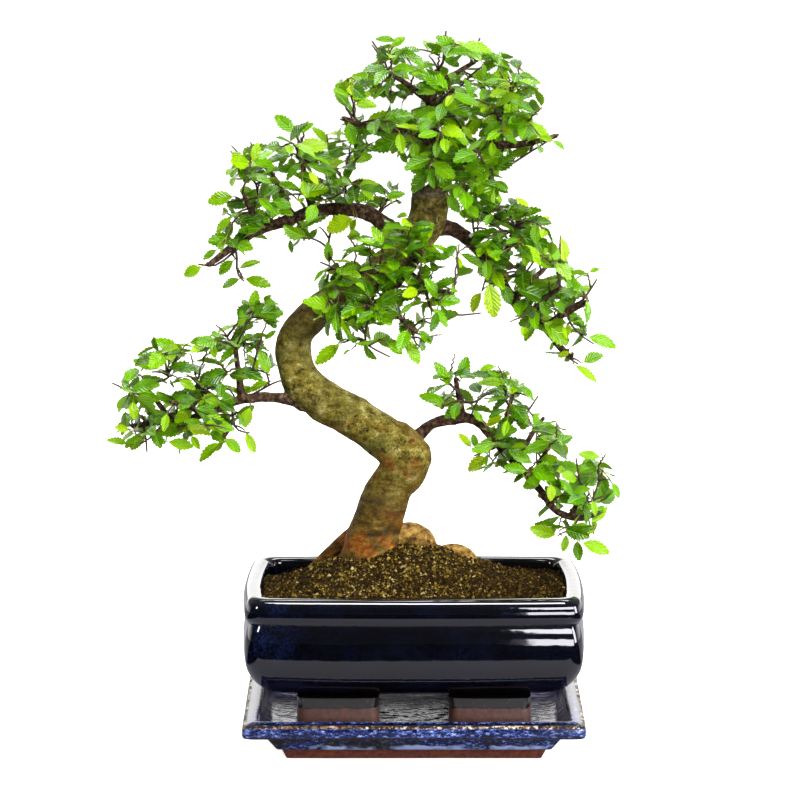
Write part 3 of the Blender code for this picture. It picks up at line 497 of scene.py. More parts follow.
def plan_ring(half_x, half_y, corner, bow, per_corner=14, per_side=12):
    """Points round a rectangle with round corners whose sides swell by the bow at their middle."""
    points = []
    for turn in range(4):
        across, out = (half_x, half_y) if turn % 2 else (half_y, half_x)
        t = -1 + 2 * np.arange(per_side) / per_side
        side = np.column_stack((out + bow * (1 - t * t), t * (across - corner)))
        a = np.arange(per_corner) / per_corner * math.pi / 2
        bend = np.column_stack((out - corner + corner * np.cos(a), across - corner + corner * np.sin(a)))
        c, s = round(math.cos(turn * math.pi / 2)), round(math.sin(turn * math.pi / 2))
        points.append(np.vstack((side, bend)) @ np.array([[c, s], [-s, c]]))
    return np.vstack(points)


def level_ring(ring, height):
    return np.column_stack((ring, np.full(len(ring), height)))


def smooth_rings(runs, ring_at, spacing):
    """A stack of plan rings along runs of inset and height, each run smooth and each join an edge."""
    rows = [smooth_path(np.array([[inset, 0.0, z, 0.0] for inset, z in run]), spacing) for run in runs]
    rows = np.vstack([rows[0]] + [part[1:] for part in rows[1:]])
    return np.array([level_ring(ring_at(inset), z) for inset, _, z, _ in rows])


def profile_rings(section, ring_at, spacing):
    """A stack of plan rings along straight runs of inset and height, with points about every spacing."""
    section = np.array(section)
    along = np.concatenate(([0.0], np.cumsum(np.hypot(*np.diff(section, axis=0).T))))
    even = np.linspace(0, along[-1], round(along[-1] / spacing) + 1)
    at = np.unique(np.concatenate((along, even[np.abs(even[:, None] - along).min(axis=1) > spacing * 0.4])))
    rows = np.column_stack([np.interp(at, along, section[:, k]) for k in range(2)])
    return np.array([level_ring(ring_at(inset), z) for inset, z in rows])


def tray_plan(inset):
    corner = max(TRAY_CORNER - inset * 0.1, 1.0)
    return plan_ring(TRAY_HALF_X - inset, TRAY_HALF_Y - inset, corner, 0.0, 6, 20)


def pot_plan(inset):
    corner = max(POT_CORNER - inset * 0.3, 6.0)
    return plan_ring(POT_HALF_X - inset - POT_BOW, POT_HALF_Y - inset - POT_BOW, corner, POT_BOW)


# Materials

def linear(code):
    """A colour written as sRGB hex, as linear light."""
    parts = [int(code[i:i + 2], 16) / 255 for i in (1, 3, 5)]
    return tuple(c / 12.92 if c <= 0.04045 else ((c + 0.055) / 1.055)**2.4 for c in parts) + (1.0,)


class Signal:
    """A node's output. Adding to it, taking from it and multiplying it make Math nodes."""

    def __init__(self, socket):
        self.socket = socket
        self.tree = socket.id_data

    def __add__(self, other):
        return reckon("ADD", self, other)

    def __sub__(self, other):
        return reckon("SUBTRACT", self, other)

    def __rsub__(self, other):
        return reckon("SUBTRACT", other, self)

    def __mul__(self, other):
        return reckon("MULTIPLY", self, other)

    def __abs__(self):
        return reckon("ABSOLUTE", self)


def put(socket, value):
    """Links a signal to an input, or sets the input to a number, a tuple or a hex colour."""
    if isinstance(value, Signal):
        value.tree.links.new(value.socket, socket)
    else:
        socket.default_value = linear(value) if isinstance(value, str) else value


def add(tree, kind, output, inputs=None, **settings):
    """Adds one node with these properties and inputs, and gives one of its outputs."""
    node = tree.nodes.new("ShaderNode" + kind)
    for key, value in settings.items():
        setattr(node, key, value)
    for key, value in (inputs or {}).items():
        put(node.inputs[key], value)
    return Signal(node.outputs[output])


def reckon(operation, first, second=0.0):
    """A Math node of two values, at least one of them a signal."""
    tree = (first if isinstance(first, Signal) else second).tree
    return add(tree, "Math", "Value", {0: first, 1: second}, operation=operation)


def larger(first, second):
    return reckon("MAXIMUM", first, second)


def clamped(signal):
    """The same sum or difference, held between 0 and 1 by its own node."""
    signal.socket.node.use_clamp = True
    return signal


def ridges(signal):
    """The absolute sine."""
    return abs(reckon("SINE", signal))


def band(signal, low, high, start=0.0, end=1.0):
    """Start below low, end above high and straight between; low may be the greater of the two."""
    limits = {"From Min": low, "From Max": high, "To Min": start, "To Max": end}
    return add(signal.tree, "MapRange", "Result", {"Value": signal, **limits})


def ramp(signal, *stops):
    """Colours by position: each stop is a position and a hex colour."""
    colour = add(signal.tree, "ValToRGB", "Color", {"Fac": signal})
    elements = colour.socket.node.color_ramp.elements
    while len(elements) < len(stops):
        elements.new(0.5)
    for element, (position, code) in zip(elements, stops):
        element.position = position
        element.color = linear(code)
    return colour


def coats(ground, *layers):
    """Colours laid over the ground one after the other, each with its share from 0 to 1."""
    for share, over in layers:
        ground = add(share.tree, "Mix", 2, {0: share, 6: ground, 7: over}, data_type="RGBA")
    return ground


def component(vector, axis):
    return add(vector.tree, "SeparateXYZ", axis, {"Vector": vector})


def axis_mm(tree, axis):
    """The object coordinate along one axis, in millimetres."""
    return component(add(tree, "TexCoord", "Object"), axis) * (1 / MM)


def attribute(tree, name):
    return add(tree, "Attribute", "Fac", attribute_name=name)


def noise(tree, size_mm, detail=3.0, rough=0.55, stretch=None):
    """Noise on object coordinates whose lumps are about size_mm across."""
    place = add(tree, "TexCoord", "Object")
    if stretch:
        place = add(tree, "Mapping", "Vector", {"Vector": place, "Scale": stretch})
    look = {"Scale": 1 / MM / size_mm, "Detail": detail, "Roughness": rough}
    return add(tree, "TexNoise", "Fac", {"Vector": place, **look})


def bump(height, depth_mm, strength=1.0, under=None):
    """A surface normal that follows the height, laid over another bump's where there is one."""
    inputs = {"Height": height, "Strength": strength, "Distance": depth_mm * MM}
    if under is not None:
        inputs["Normal"] = under
    return add(height.tree, "Bump", "Normal", inputs)


def new_material(name):
    made = bpy.data.materials.new(name)
    made.use_nodes = True
    return made, made.node_tree


def shade(made, inputs):
    """Sets or links these inputs of the material's shader."""
    for key, value in inputs.items():
        put(made.node_tree.nodes["Principled BSDF"].inputs[key], value)
    return made


def pot_finish():
    """Iron-cobalt stoneware glaze, fired glossy: almost black, flecked blue where thin; bare clay feet."""
    made, tree = new_material("navy_stoneware_glaze")
    height = axis_mm(tree, "Z")
    glaze = ramp(noise(tree, 16, 3), (0.35, "#030304"), (0.55, "#040508"), (0.75, "#080a14"))
    thin = band(axis_mm(tree, "X"), -40, -80) * band(noise(tree, 9, 2), 0.42, 0.7)
    clouds = band(noise(tree, 26, 4), 0.5, 0.7) * 0.1
    fleck = band(noise(tree, 1.0, 2, 0.6), 0.42, 0.66)
    foot = band(height, 33, 31)
    smeared = ramp(noise(tree, 1.5, 4), (0.4, "#0d0b08"), (0.6, "#1c1812"), (0.72, "#4a4232"))
    bare = clamped(1.0 - band(height + noise(tree, 9, 3) * 3.0, 27.6, 28.2))
    clay = ramp(noise(tree, 2.2, 4), (0.3, "#2c1002"), (0.6, "#4c2208"), (0.8, "#5e3410"))
    colour = coats(glaze, (clamped(thin * 0.4 + clouds) * fleck, "#1f3370"), (fleck * 0.14, "#1c203a"),
                   (foot, smeared), (bare, clay))
    return shade(made, {
        "Base Color": colour, "Roughness": foot * 0.1 + 0.05 + bare * 0.5, "IOR": GLAZE_IOR,
        "Specular IOR Level": 0.85, "Specular Tint": (0.96, 0.94, 1.0, 1.0),
        "Normal": bump(noise(tree, 7, 1), 0.1, 0.5)})


def tray_finish():
    """The same ware with a runny blue glaze, broken to brown on its edges, over a hammered floor."""
    made, tree = new_material("blue_flambe_glaze")
    height, beside, ahead = axis_mm(tree, "Z"), abs(axis_mm(tree, "X")), abs(axis_mm(tree, "Y"))
    face = ramp(noise(tree, 1.7, 4, 0.65, (0.7, 0.7, 1.6)),
                (0.36, "#04050d"), (0.46, "#131c44"), (0.55, "#354892"), (0.63, "#8498d2"), (0.74, "#c6d0f2"))
    dull = band(noise(tree, 16, 3), 0.42, 0.62) * 0.5
    step = band(height, 6.2, 6.6) * band(height, 15.2, 14.6) * band(noise(tree, 21, 3), 0.58, 0.46)
    olive = ramp(noise(tree, 2.2, 5, 0.65), (0.4, "#0b0c12"), (0.55, "#26282c"), (0.66, "#4a4c56"))
    pool = band(height + noise(tree, 5, 3) * 4.0, 10.6, 9.6) * band(noise(tree, 17, 3), 0.46, 0.56) * 0.85

    floor = ramp(noise(tree, 6, 4), (0.35, "#05060f"), (0.65, "#10142e"))
    # Painted reflection: the floor turns lavender towards its sides, standing for the pale backdrop mirrored
    # there.
    floor = coats(floor, (band(beside, 46, 60) * 0.7, "#43406e"))
    low = band(height, 11.8, 12.0) * band(height, 21.5, 19.5)
    within = band(beside, 78.5, 77.5) * band(ahead, 62.0, 61.0) * low

    crown = larger(band(beside, 81.5, 83.0), band(ahead, 64.0, 65.5)) * band(height, 20.6, 21.0) * 0.85
    lip = band(height, 19.9, 20.4) * band(height, 21.6, 21.2)
    broken = band(noise(tree, 2.3, 5, 0.7), 0.5, 0.54)
    # Where the glaze breaks on the rim edge it shows brown clay; the pale dashes over it are painted glints.
    clay_and_painted_glints = coats("#8a6336", (band(noise(tree, 4.1, 3), 0.48, 0.56), "#e4d4bc"))
    under = band(height, 14.3, 14.8) * band(height, 16.2, 15.6) * 0.8
    bare = clamped(1.0 - band(height + noise(tree, 12, 2) * 1.2, 6.1, 6.4))
    clay = ramp(noise(tree, 2.0, 4), (0.3, "#44190c"), (0.55, "#632e1a"), (0.8, "#7c4428"))
    edge = coats("#0a0605", (broken, clay_and_painted_glints))
    colour = coats(face, (dull, "#0a1030"), (step, olive), (pool, "#a9bdf0"), (within, floor),
                   (crown, "#080914"), (lip, edge), (under, "#1c1210"), (bare, clay))

    calm = band(beside, CALM_EDGE, CALM_EDGE - CALM_WIDTH)
    matt = larger(larger(bare, lip * (1.0 - broken)), larger((1.0 - calm) * 0.12, within * calm * 0.18))
    hammer = noise(tree, 6.5, 1, 0.4, (1.0, 1.3, 1.0)) * within * (calm * 0.7 + 0.3)
    return shade(made, {
        "Base Color": colour, "Roughness": band(matt, 0.0, 1.0, 0.1, 0.85), "IOR": GLAZE_IOR,
        "Specular Tint": (0.9, 0.88, 1.0, 1.0),
        "Normal": bump(noise(tree, 3.0, 2), 0.06, 0.5, bump(hammer, 1.7, 1.0))})


def bark_finish():
    """Chinese elm bark: olive-grey plates flecked dark and straw, rust patches low down, dark young wood."""
    made, tree = new_material("elm_bark")
    old, root, cut = (attribute(tree, name) for name in ("old_wood", "root_wood", "cut_face"))
    height = axis_mm(tree, "Z")
    plates = ramp(noise(tree, 7.0, 12, 0.8, (1.0, 1.0, 1.4)), (0.37, "#1c1400"), (0.44, "#4e420c"),
                  (0.5, "#786a22"), (0.56, "#9a8e42"), (0.64, "#d2c98e"))
    shadow = band(noise(tree, 13, 4), 0.5, 0.66) * 0.5
    moss = band(noise(tree, 19, 3), 0.5, 0.62) * 0.4
    flecked = band(noise(tree, 26, 2), 0.44, 0.56)
    straw = band(noise(tree, 1.3, 4, 0.65), 0.54, 0.64) * flecked * 0.6
    dark = band(noise(tree, 1.7, 4, 0.65), 0.56, 0.66) * flecked * 0.7
    pits = band(noise(tree, 3.4, 2, 0.5), 0.65, 0.7) * 0.8

    low = band(height, 150, 118)
    brown = ramp(noise(tree, 6, 10, 0.78, (0.7, 0.7, 1.8)),
                 (0.38, "#120700"), (0.47, "#402703"), (0.55, "#624814"), (0.64, "#8c7038"))
    # Painted shade: darker patches on the trunk's upper bend and on the stump, where the foliage above shades
    # them.
    bough = band(height, 196, 212) * band(height, 240, 224)
    stump = band(height, 254, 266)
    foliage_shade = larger(bough, stump * 0.55) * band(noise(tree, 7, 6, 0.7), 0.3, 0.52) * 0.68
    whorl = ridges(noise(tree, 15, 4, 0.5) * 30.0)
    grown = band(whorl, 0.5, 0.1) * band(noise(tree, 5, 3), 0.4, 0.6) * stump * 0.8
    pale = band(whorl, 0.8, 1.0) * band(noise(tree, 6, 4, 0.7), 0.5, 0.62) * stump * 0.75
    wrinkle = band(noise(tree, 9, 4, 0.6, (0.35, 0.35, 3.0)), 0.55, 0.65) * low * 0.7
    bend = band(height, 132, 142) * band(height, 168, 156)
    rusty = band(noise(tree, 15, 4), 0.46, 0.58) * clamped(band(height, 122, 100) + bend * 0.8) * 0.85
    rust = ramp(noise(tree, 3, 4), (0.35, "#5e2e0a"), (0.52, "#9c5514"), (0.7, "#c48a38"))
    trunk = coats(plates, (shadow, "#4c4930"), (moss, "#5d6122"), (straw, "#a89842"), (dark, "#332c14"),
                  (pits, "#241b0e"), (low * 0.85, brown), (foliage_shade, "#3c2d14"), (stump * 0.15, "#32240f"),
                  (grown, "#140c03"), (pale, "#a8935a"), (wrinkle, "#2e1c0a"), (rusty, rust))

    young = ramp(noise(tree, 2.0, 5, 0.65),
                 (0.34, "#170e08"), (0.46, "#3a281c"), (0.56, "#5c4433"), (0.7, "#8d735c"))
    tan = ramp(noise(tree, 3.4, 5, 0.65),
               (0.34, "#402a10"), (0.45, "#7a5a26"), (0.56, "#a8843f"), (0.7, "#cfb06a"))
    ruddy = ramp(noise(tree, 4, 5, 0.65), (0.4, "#241206"), (0.52, "#4e2c0e"), (0.62, "#9a5c1e"))
    roots = coats(tan, (band(axis_mm(tree, "X"), -24, -34), ruddy))
    wood = ramp(noise(tree, 1.8, 5, 0.65),
                (0.34, "#2a2316"), (0.5, "#5b4f38"), (0.64, "#82745a"), (0.8, "#a3957c"))
    plate_edges = bump(noise(tree, 4.5, 5, 0.6, (1.0, 1.0, 1.8)), 1.1, 1.0)
    return shade(made, {
        "Base Color": coats(young, (old, trunk), (root, roots), (cut, wood)), "Roughness": 0.72,
        "Specular IOR Level": 0.15, "Normal": bump(noise(tree, 1.1, 4, 0.65), 0.3, 0.8, plate_edges)})


def leaf_finish():
    """Living elm leaf: waxy deep to yellow green above with paler veins, matt and paler beneath."""
    made, tree = new_material("elm_leaf")
    tone, under = attribute(tree, "tone"), attribute(tree, "under")
    uv = add(tree, "UVMap", "UV", uv_map="leaf")
    along, across = component(uv, "X"), abs(component(uv, "Y") - 0.5)
    wave = ridges((along - across * 0.8) * (TEETH * math.pi))
    lines = larger(band(wave, 0.3, 0.0) * 0.45, band(across, 0.045, 0.0))
    top = ramp(tone, (0.0, "#184000"), (0.22, "#347200"), (0.48, "#68ac00"), (0.72, "#98cc00"),
               (1.0, "#c4e208"))
    top = coats(top, (band(noise(tree, 4, 3), 0.4, 0.7) * 0.3, "#92c410"), (lines * 0.38, "#aad430"))
    below = ramp(tone, (0.0, "#4f8208"), (0.6, "#7eb000"), (1.0, "#b0d80a"))
    below = coats(below, (lines * 0.45, "#aacc30"))
    veins = wave * band(across, 0.0, 0.06)
    return shade(made, {
        "Base Color": coats(top, (under, below)), "Roughness": band(under, 0.0, 1.0, 0.14, 0.55),
        "Subsurface Weight": 0.08, "Subsurface Radius": (0.0012, 0.002, 0.0004), "Subsurface Scale": 1.0,
        "Specular IOR Level": 0.45, "Normal": bump(veins, 0.3, 0.8, bump(noise(tree, 4.5, 2), 0.35, 0.5))})


def twig_finish():
    """Young elm shoots: dark brown bark that turns orange-green towards the tips."""
    made, tree = new_material("elm_shoot")
    colour = ramp(attribute(tree, "tip"),
                  (0.0, "#33221a"), (0.5, "#5a3d22"), (0.85, "#8a7a2a"), (1.0, "#9db23a"))
    grain = band(noise(tree, 1.0, 2), 0.4, 0.65) * 0.4
    return shade(made, {"Base Color": coats(colour, (grain, "#20150f")), "Roughness": 0.6})


def soil_finish():
    """Bonsai mix of peat, grit and fired clay: dark crumbs with straw-gold and pale flecks."""
    made, tree = new_material("bonsai_soil")
    colour = ramp(attribute(tree, "tone"),
                  (0.0, "#0c0701"), (0.3, "#2c1e06"), (0.55, "#5e4a16"), (0.8, "#9a802e"), (1.0, "#cfba80"))
    crumb = noise(tree, 0.9, 3)
    colour = coats(colour, (band(crumb, 0.45, 0.7) * 0.4, "#0f0b06"))
    return shade(made, {"Base Color": colour, "Roughness": 0.95, "Specular IOR Level": 0.1,
                        "Normal": bump(crumb, 0.4, 0.8)})


def mesh_finish():
    """Moulded polyethylene mesh, black with a faint satin grain."""
    made, tree = new_material("black_polyethylene")
    grain = ramp(noise(tree, 1.2, 2), (0.3, "#0d0d0d"), (0.8, "#1c1c1c"))
    return shade(made, {"Base Color": grain, "Roughness": 0.5})


# Pieces

def ride_as(piece, material, slot, *nodes):
    piece.data.materials.clear()
    piece.data.materials.append(material)
    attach(piece, "root")
    if nodes:
        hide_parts(*nodes)


def apply_modifiers(piece):
    bpy.context.view_layer.update()
    mesh = bpy.data.meshes.new_from_object(piece.evaluated_get(bpy.context.evaluated_depsgraph_get()))
    piece.modifiers.clear()
    old = piece.data
    piece.data = mesh
    mesh.name = piece.name
    bpy.data.meshes.remove(old)


def vectors(items, key):
    """One vector of each vertex, as rows."""
    found = np.empty(len(items) * 3, np.float32)
    items.foreach_get(key, found)
    return found.reshape(-1, 3).astype(float)


def coordinates(piece):
    return vectors(piece.data.vertices, "co") / MM


def make_tray():
    """The dish: its section carried round the rectangle, with the floor rippled as if hammered."""
    rings = profile_rings(TRAY_OUTSIDE + TRAY_INSIDE, tray_plan, TRAY_STEP)
    middle = np.array([0.0, 0.0, TRAY_FLOOR])
    inner = [middle + (rings[-1] - middle) * share for share in np.linspace(0.97, 0.05, TRAY_FLOOR_RINGS)]
    rings = np.concatenate((rings, inner))
    points = rings.reshape(-1, 3)
    flat = np.exp(-((points[:, 2] - TRAY_FLOOR) / 0.6)**2) * (points[:, 2] > TRAY_FLOOR - 0.4)
    calm = 0.6 + 0.4 * np.clip((CALM_EDGE - np.abs(points[:, 0])) / CALM_WIDTH, 0, 1)
    points[:, 2] += HAMMER_DEPTH * ripple(points * [1.0, 1.8, 1.0], 7.0, 3) * flat * calm
    points += ripple(points, 30.0, 4)[:, None] * TRAY_WAVER * np.array([1, 1, 0])
    tray = skin("tray_dish", rings)
    tray.data.set_sharp_from_angle(angle=TRAY_SHARP)
    ride_as(tray, tray_finish(), "tray_glaze", "tray")


def rounded_block(name, size, centre, corner):
    """A block with soft edges: rounded plan rings that draw in at the bottom."""
    x, y, z = size
    levels = [(2.2, 0.0), (0.9, 0.4), (0.2, 1.4), (0.0, 3.0), (0.0, z - 1)]
    rings = [level_ring(plan_ring(x / 2 - inset, y / 2 - inset, corner, 0.6, 6, 4), height)
             for inset, height in levels]
    return skin(name, np.array(rings) + np.array(centre) - [0, 0, z / 2])


def drain_hole(side):
    """A round plug through the pot's floor."""
    turn = np.arange(DRAIN_SIDES) / DRAIN_SIDES * 2 * math.pi
    disc = np.column_stack((side * DRAIN_X + DRAIN_RADIUS * np.cos(turn), DRAIN_RADIUS * np.sin(turn)))
    ends = (POT_BASE - DRAIN_SPARE, POT_FLOOR + DRAIN_SPARE)
    return skin("hole", [level_ring(disc, height) for height in ends])


def combine(base, others, operation):
    for other in others:
        cut = base.modifiers.new(operation.lower(), "BOOLEAN")
        cut.operation = operation
        cut.object = other
        cut.solver = "EXACT"
    apply_modifiers(base)
    for other in others:
        bpy.data.objects.remove(other)


def make_pot():
    """The bowed open pot with its rolled rim, the four feet joined on, and the drain holes cut."""
    rings = smooth_rings(POT_RUNS, pot_plan, POT_STEP)
    points = rings.reshape(-1, 3)
    points += ripple(points, 40.0, 8)[:, None] * POT_WAVER * unit(points * [1, 1, 0])
    pot = skin("pot_body", rings)
    level = TRAY_FLOOR + FOOT_GAP + FOOT_SIZE[2] / 2
    feet = [rounded_block("foot", FOOT_SIZE, (sx * FOOT_X, sy * FOOT_Y, level), FOOT_CORNER)
            for sx in (-1, 1) for sy in (-1, 1)]
    combine(pot, feet, "UNION")
    combine(pot, [drain_hole(side) for side in (-1, 1)], "DIFFERENCE")
    pot.data.shade_smooth()
    pot.data.set_sharp_from_angle(angle=POT_SHARP)
    crease_at(pot, POT_EDGE)
    ride_as(pot, pot_finish(), "pot_glaze", "pot")


def soil_height(x, y):
    """Level soil with a dip at the back left and a broad mound, a Gaussian, round the trunk."""
    mound = MOUND_HEIGHT * np.exp(-((x - MOUND_X) / MOUND_SPREAD[0])**2 - (y / MOUND_SPREAD[1])**2)
    back_left = np.clip(y / SOIL_HALF_DEPTH, 0, None) * np.clip((-x - DIP_START) / DIP_WIDTH, 0, 1)
    flat = np.stack((x, y, x * 0), axis=-1)
    lumps = 0.9 * ripple(flat, 16.0, 12) + 0.4 * ripple(flat, 6.0, 13)
    return SOIL_LEVEL - SOIL_FRONT_RISE * y / SOIL_HALF_DEPTH - SOIL_BACK_LEFT_DIP * back_left + mound + lumps


def make_soil():
    """The soil's own body, and thousands of crumbs and grit grains pressed into its top."""
    wall = pot_plan(SOIL_BED[-1][0])
    rings = [level_ring(pot_plan(inset + 0.5), z + 0.4) for inset, z in SOIL_BED]
    middle = np.array([MOUND_X, 0.0])
    for share in np.linspace(1.0, 0.02, SOIL_RINGS):
        at = middle + (wall - middle) * share
        rings.append(np.column_stack((at, soil_height(*at.T))))
    bed = skin("soil_bed", rings)
    set_values(bed, "tone", np.full(len(bed.data.vertices), 0.3))
    finish = soil_finish()
    ride_as(bed, finish, "soil_mix", "soil")
    ride_as(soil_grains(), finish, "soil_mix")


def soil_grains():
    """Grains as jittered octahedra of log-normal sizes, golden round the trunk and towards the front."""
    rng = np.random.default_rng(SEED)
    half = np.array([POT_HALF_X, POT_HALF_Y]) - GRAIN_INSET
    at = rng.uniform(-1, 1, (GRAINS * 2, 2)) * half
    beyond = np.abs(at) - (half - GRAIN_CORNER)
    at = at[np.hypot(*np.clip(beyond, 0, None).T) < GRAIN_CORNER - 0.4][:GRAINS]
    count = len(at)
    size = rng.lognormal(-0.62, 0.36, count).clip(*GRAIN_SIZE)
    centre = np.column_stack((at, soil_height(*at.T) + size * rng.uniform(-0.25, 0.45, count)))
    corner = np.array([(1, 0, 0), (0, 1, 0), (-1, 0, 0), (0, -1, 0), (0, 0, 1), (0, 0, -1)], float)
    jitter = corner + rng.normal(0, 0.22, (count, 6, 3))
    shape = jitter * (size[:, None, None] * rng.uniform(0.6, 1.25, (count, 1, 3)))
    spin = rng.uniform(0, 2 * math.pi, count)[:, None]
    c, s = np.cos(spin), np.sin(spin)
    x, y, z = shape[..., 0], shape[..., 1], shape[..., 2]
    turned = np.stack((x * c - y * s, x * s + y * c, z), axis=-1)
    points = (centre[:, None, :] + turned).reshape(-1, 3)
    one = np.array([(i, (i + 1) % 4, 4) for i in range(4)] + [((i + 1) % 4, i, 5) for i in range(4)])
    faces = (one[None] + np.arange(count)[:, None, None] * 6).reshape(-1, 3)
    grains = mesh_piece("soil_grains", points, faces, smooth=False)
    forward = np.clip(1.25 - (at[:, 1] + SOIL_HALF_DEPTH) / 100, 0.15, 1.0)
    golden = np.exp(-((at[:, 0] - GOLD_X) / GOLD_SPREAD)**2) * forward
    tone = rng.beta(1.0, 1.5, count) * (0.62 + 0.38 * golden) + 0.02
    bright = rng.uniform(size=count) < 0.06 * (0.1 + golden)
    tone = np.where(bright, rng.uniform(0.85, 1.0, count), tone).clip(0, 1)
    set_values(grains, "tone", np.repeat(tone, 6))
    return grains


def wood_routes():
    """Every piece of wood as its fine path, with whether it is old wood and whether it is root."""
    routes = [(route, TRUNK_STEP, 1.0, 0.0) for route in (TRUNK, ELBOW)]
    routes += [(route, LIMB_STEP, 1.0, 1.0 if "knuckle" in key else 0.45) for key, route in ROOTS.items()]
    routes += [(route, LIMB_STEP, 0.0, 0.0) for route in (*LIMBS.values(), *BRANCHES.values())]
    return [(smooth_path(route_in_space(route), step), old, root) for route, step, old, root in routes]


def rough_wood():
    """The wood as rods that wander and vary in girth, run together by a fine remesh, and the rods' places."""
    parts, places = [], []
    for number, (rows, old, root) in enumerate(wood_routes()):
        wander, sides = OLD_ROD if old else YOUNG_ROD
        wiggle = np.array([ripple(rows[:, :3], 24.0, 50 + number * 3 + k) for k in range(3)]).T
        ends = np.sin(np.linspace(0, math.pi, len(rows)))[:, None]
        path = rows[:, :3] + wiggle * ends * wander
        radius = rows[:, 3] * (1 + 0.05 * ripple(rows[:, :3], 14.0, 90 + number)) + 0.12
        parts.append(rods(path[None], radius[None], sides))
        places.append(np.column_stack((path, radius, np.full(len(path), old), np.full(len(path), root))))
    wood = mesh_piece("elm_wood", *joined(parts))
    remesh = wood.modifiers.new("run_together", "REMESH")
    remesh.mode = "VOXEL"
    remesh.voxel_size = WOOD_VOXEL * MM
    remesh.use_smooth_shade = True
    settle = wood.modifiers.new("settle", "SMOOTH")
    settle.factor = 0.5
    settle.iterations = 5
    apply_modifiers(wood)
    return wood, np.vstack(places)


def nearest_place(at, places):
    """The number of the place whose round surface is nearest to each point, a few thousand at a time."""
    nearest = np.empty(len(at), int)
    for low in range(0, len(at), 4000):
        gap = np.linalg.norm(at[low:low + 4000, None, :] - places[None, :, :3], axis=2) - places[:, 3]
        nearest[low:low + 4000] = gap.argmin(axis=1)
    return nearest


def make_wood():
    """Trunk, roots and limbs as one, swollen and wrinkled along their normals, with a dome on the stump."""
    wood, places = rough_wood()
    at = coordinates(wood)
    normals = vectors(wood.data.vertex_normals, "vector")
    radius, old, root = places[nearest_place(at, places), 3:].T
    along = at * [1.0, 1.0, 0.55]
    lift = 0.30 * ripple(at, 17.0, 31) + 0.16 * ripple(along, 6.0, 32) + 0.09 * ripple(along, 2.6, 33)
    knots = radius * (0.075 * ripple(at, 9.0, 35) + 0.05 * ripple(at, 4.0, 36)) * (1 - old)
    stump_x, stump_z = TRUNK[-1][:2]
    top = seen(stump_x, stump_z)[2]
    reach = np.hypot(at[:, 0] - stump_x, at[:, 1])
    cut = (at[:, 2] > top - CUT_DEPTH) & (reach < CUT_REACH) & (old > 0.5)
    swirl = 0.45 * np.sin(np.hypot(at[:, 0] - 6, at[:, 1] + 2) * 2.2 + 2.0 * ripple(at, 9.0, 34))
    move = np.where(cut, swirl * 0.6, lift * np.clip(radius / 9.0, 0.16, 1.25) + knots)
    moved = at + normals * move[:, None]
    below = np.clip((at[:, 2] - top + DOME_BELOW) / DOME_BELOW, 0, 1)
    above = np.clip((top + DOME_ABOVE - at[:, 2]) / DOME_ABOVE, 0, 1)
    healed = below**2 * above * (reach < DOME_OUT)
    moved[:, 2] += healed * (DOME_RISE - DOME_FALL * (np.minimum(reach, DOME_LOWEST) / DOME_REACH)**2)
    wood.data.vertices.foreach_set("co", (moved * MM).astype(np.float32).ravel())
    wood.data.update()
    for name, values in (("old_wood", old), ("root_wood", root), ("cut_face", cut)):
        set_values(wood, name, values)
    ride_as(wood, bark_finish(), "elm_bark", "tree_wood")
    return places


# Foliage

def leaf_template():
    """One leaf of unit length, its top and underside sharing a saw-toothed outline.

    The half width is a full sine arch with a pointed tip; every second station stands out as a tooth that
    points forward. Returns points, uv, and the faces above and below.
    """
    u = np.linspace(0.0, 1.0, STATIONS)
    half = LEAF_HALF_WIDTH * np.sin(math.pi * u**0.94)**0.7
    half[0], half[-1] = 0.02, 0.0
    odd = np.arange(STATIONS) % 2 == 1
    tooth = np.where(odd, TOOTH_OUT, TOOTH_IN)
    tooth[[0, -1]] = 1.0
    forward = np.where(odd, TOOTH_LEAN, 0.0)
    left = np.column_stack((u + forward, half * tooth, np.zeros(STATIONS)))
    right = left * [1, -1, 1]
    rib = np.column_stack((u, np.zeros(STATIONS), np.zeros(STATIONS)))
    thick = LEAF_HALF_THICKNESS * np.sin(math.pi * u)[:, None] * [0, 0, 1]
    points = np.concatenate((left, rib + thick, right, rib - thick))
    uv = np.column_stack((points[:, 0], 0.5 + points[:, 1] / (2.4 * LEAF_HALF_WIDTH)))
    edge, rib_top, far_edge, rib_below = (np.arange(STATIONS - 1) + row * STATIONS for row in range(4))

    def faces(middle):
        strips = ((edge, middle), (middle, far_edge))
        return np.concatenate([np.stack((a, b, b + 1, a + 1), -1) for a, b in strips])

    return points, uv, faces(rib_top), faces(rib_below)[:, ::-1]


def bend_shoot(start, goal, lift=0.14):
    """A shoot's points, on a curve that rises in its middle and zigzags a little from leaf to leaf."""
    t = np.linspace(0, 1, SHOOT_POINTS)[:, None]
    way = goal - start
    rise = np.array([0, 0, lift * np.linalg.norm(way)])
    side = unit(np.cross(way, [0.3, 0.2, 1.0]))
    zigzag = side * ZIGZAG * ((np.arange(SHOOT_POINTS) % 2) * 2 - 1)[:, None]
    return start + way * t + rise * 4 * t * (1 - t) + zigzag * np.sin(math.pi * t)


def nearest_hold(holds, goal, least=8.0):
    """The place on the branches nearest to the goal that is at least this far from it."""
    reach = np.linalg.norm(holds - goal, axis=1)
    return holds[np.where(reach < least, 1e9, reach).argmin()]


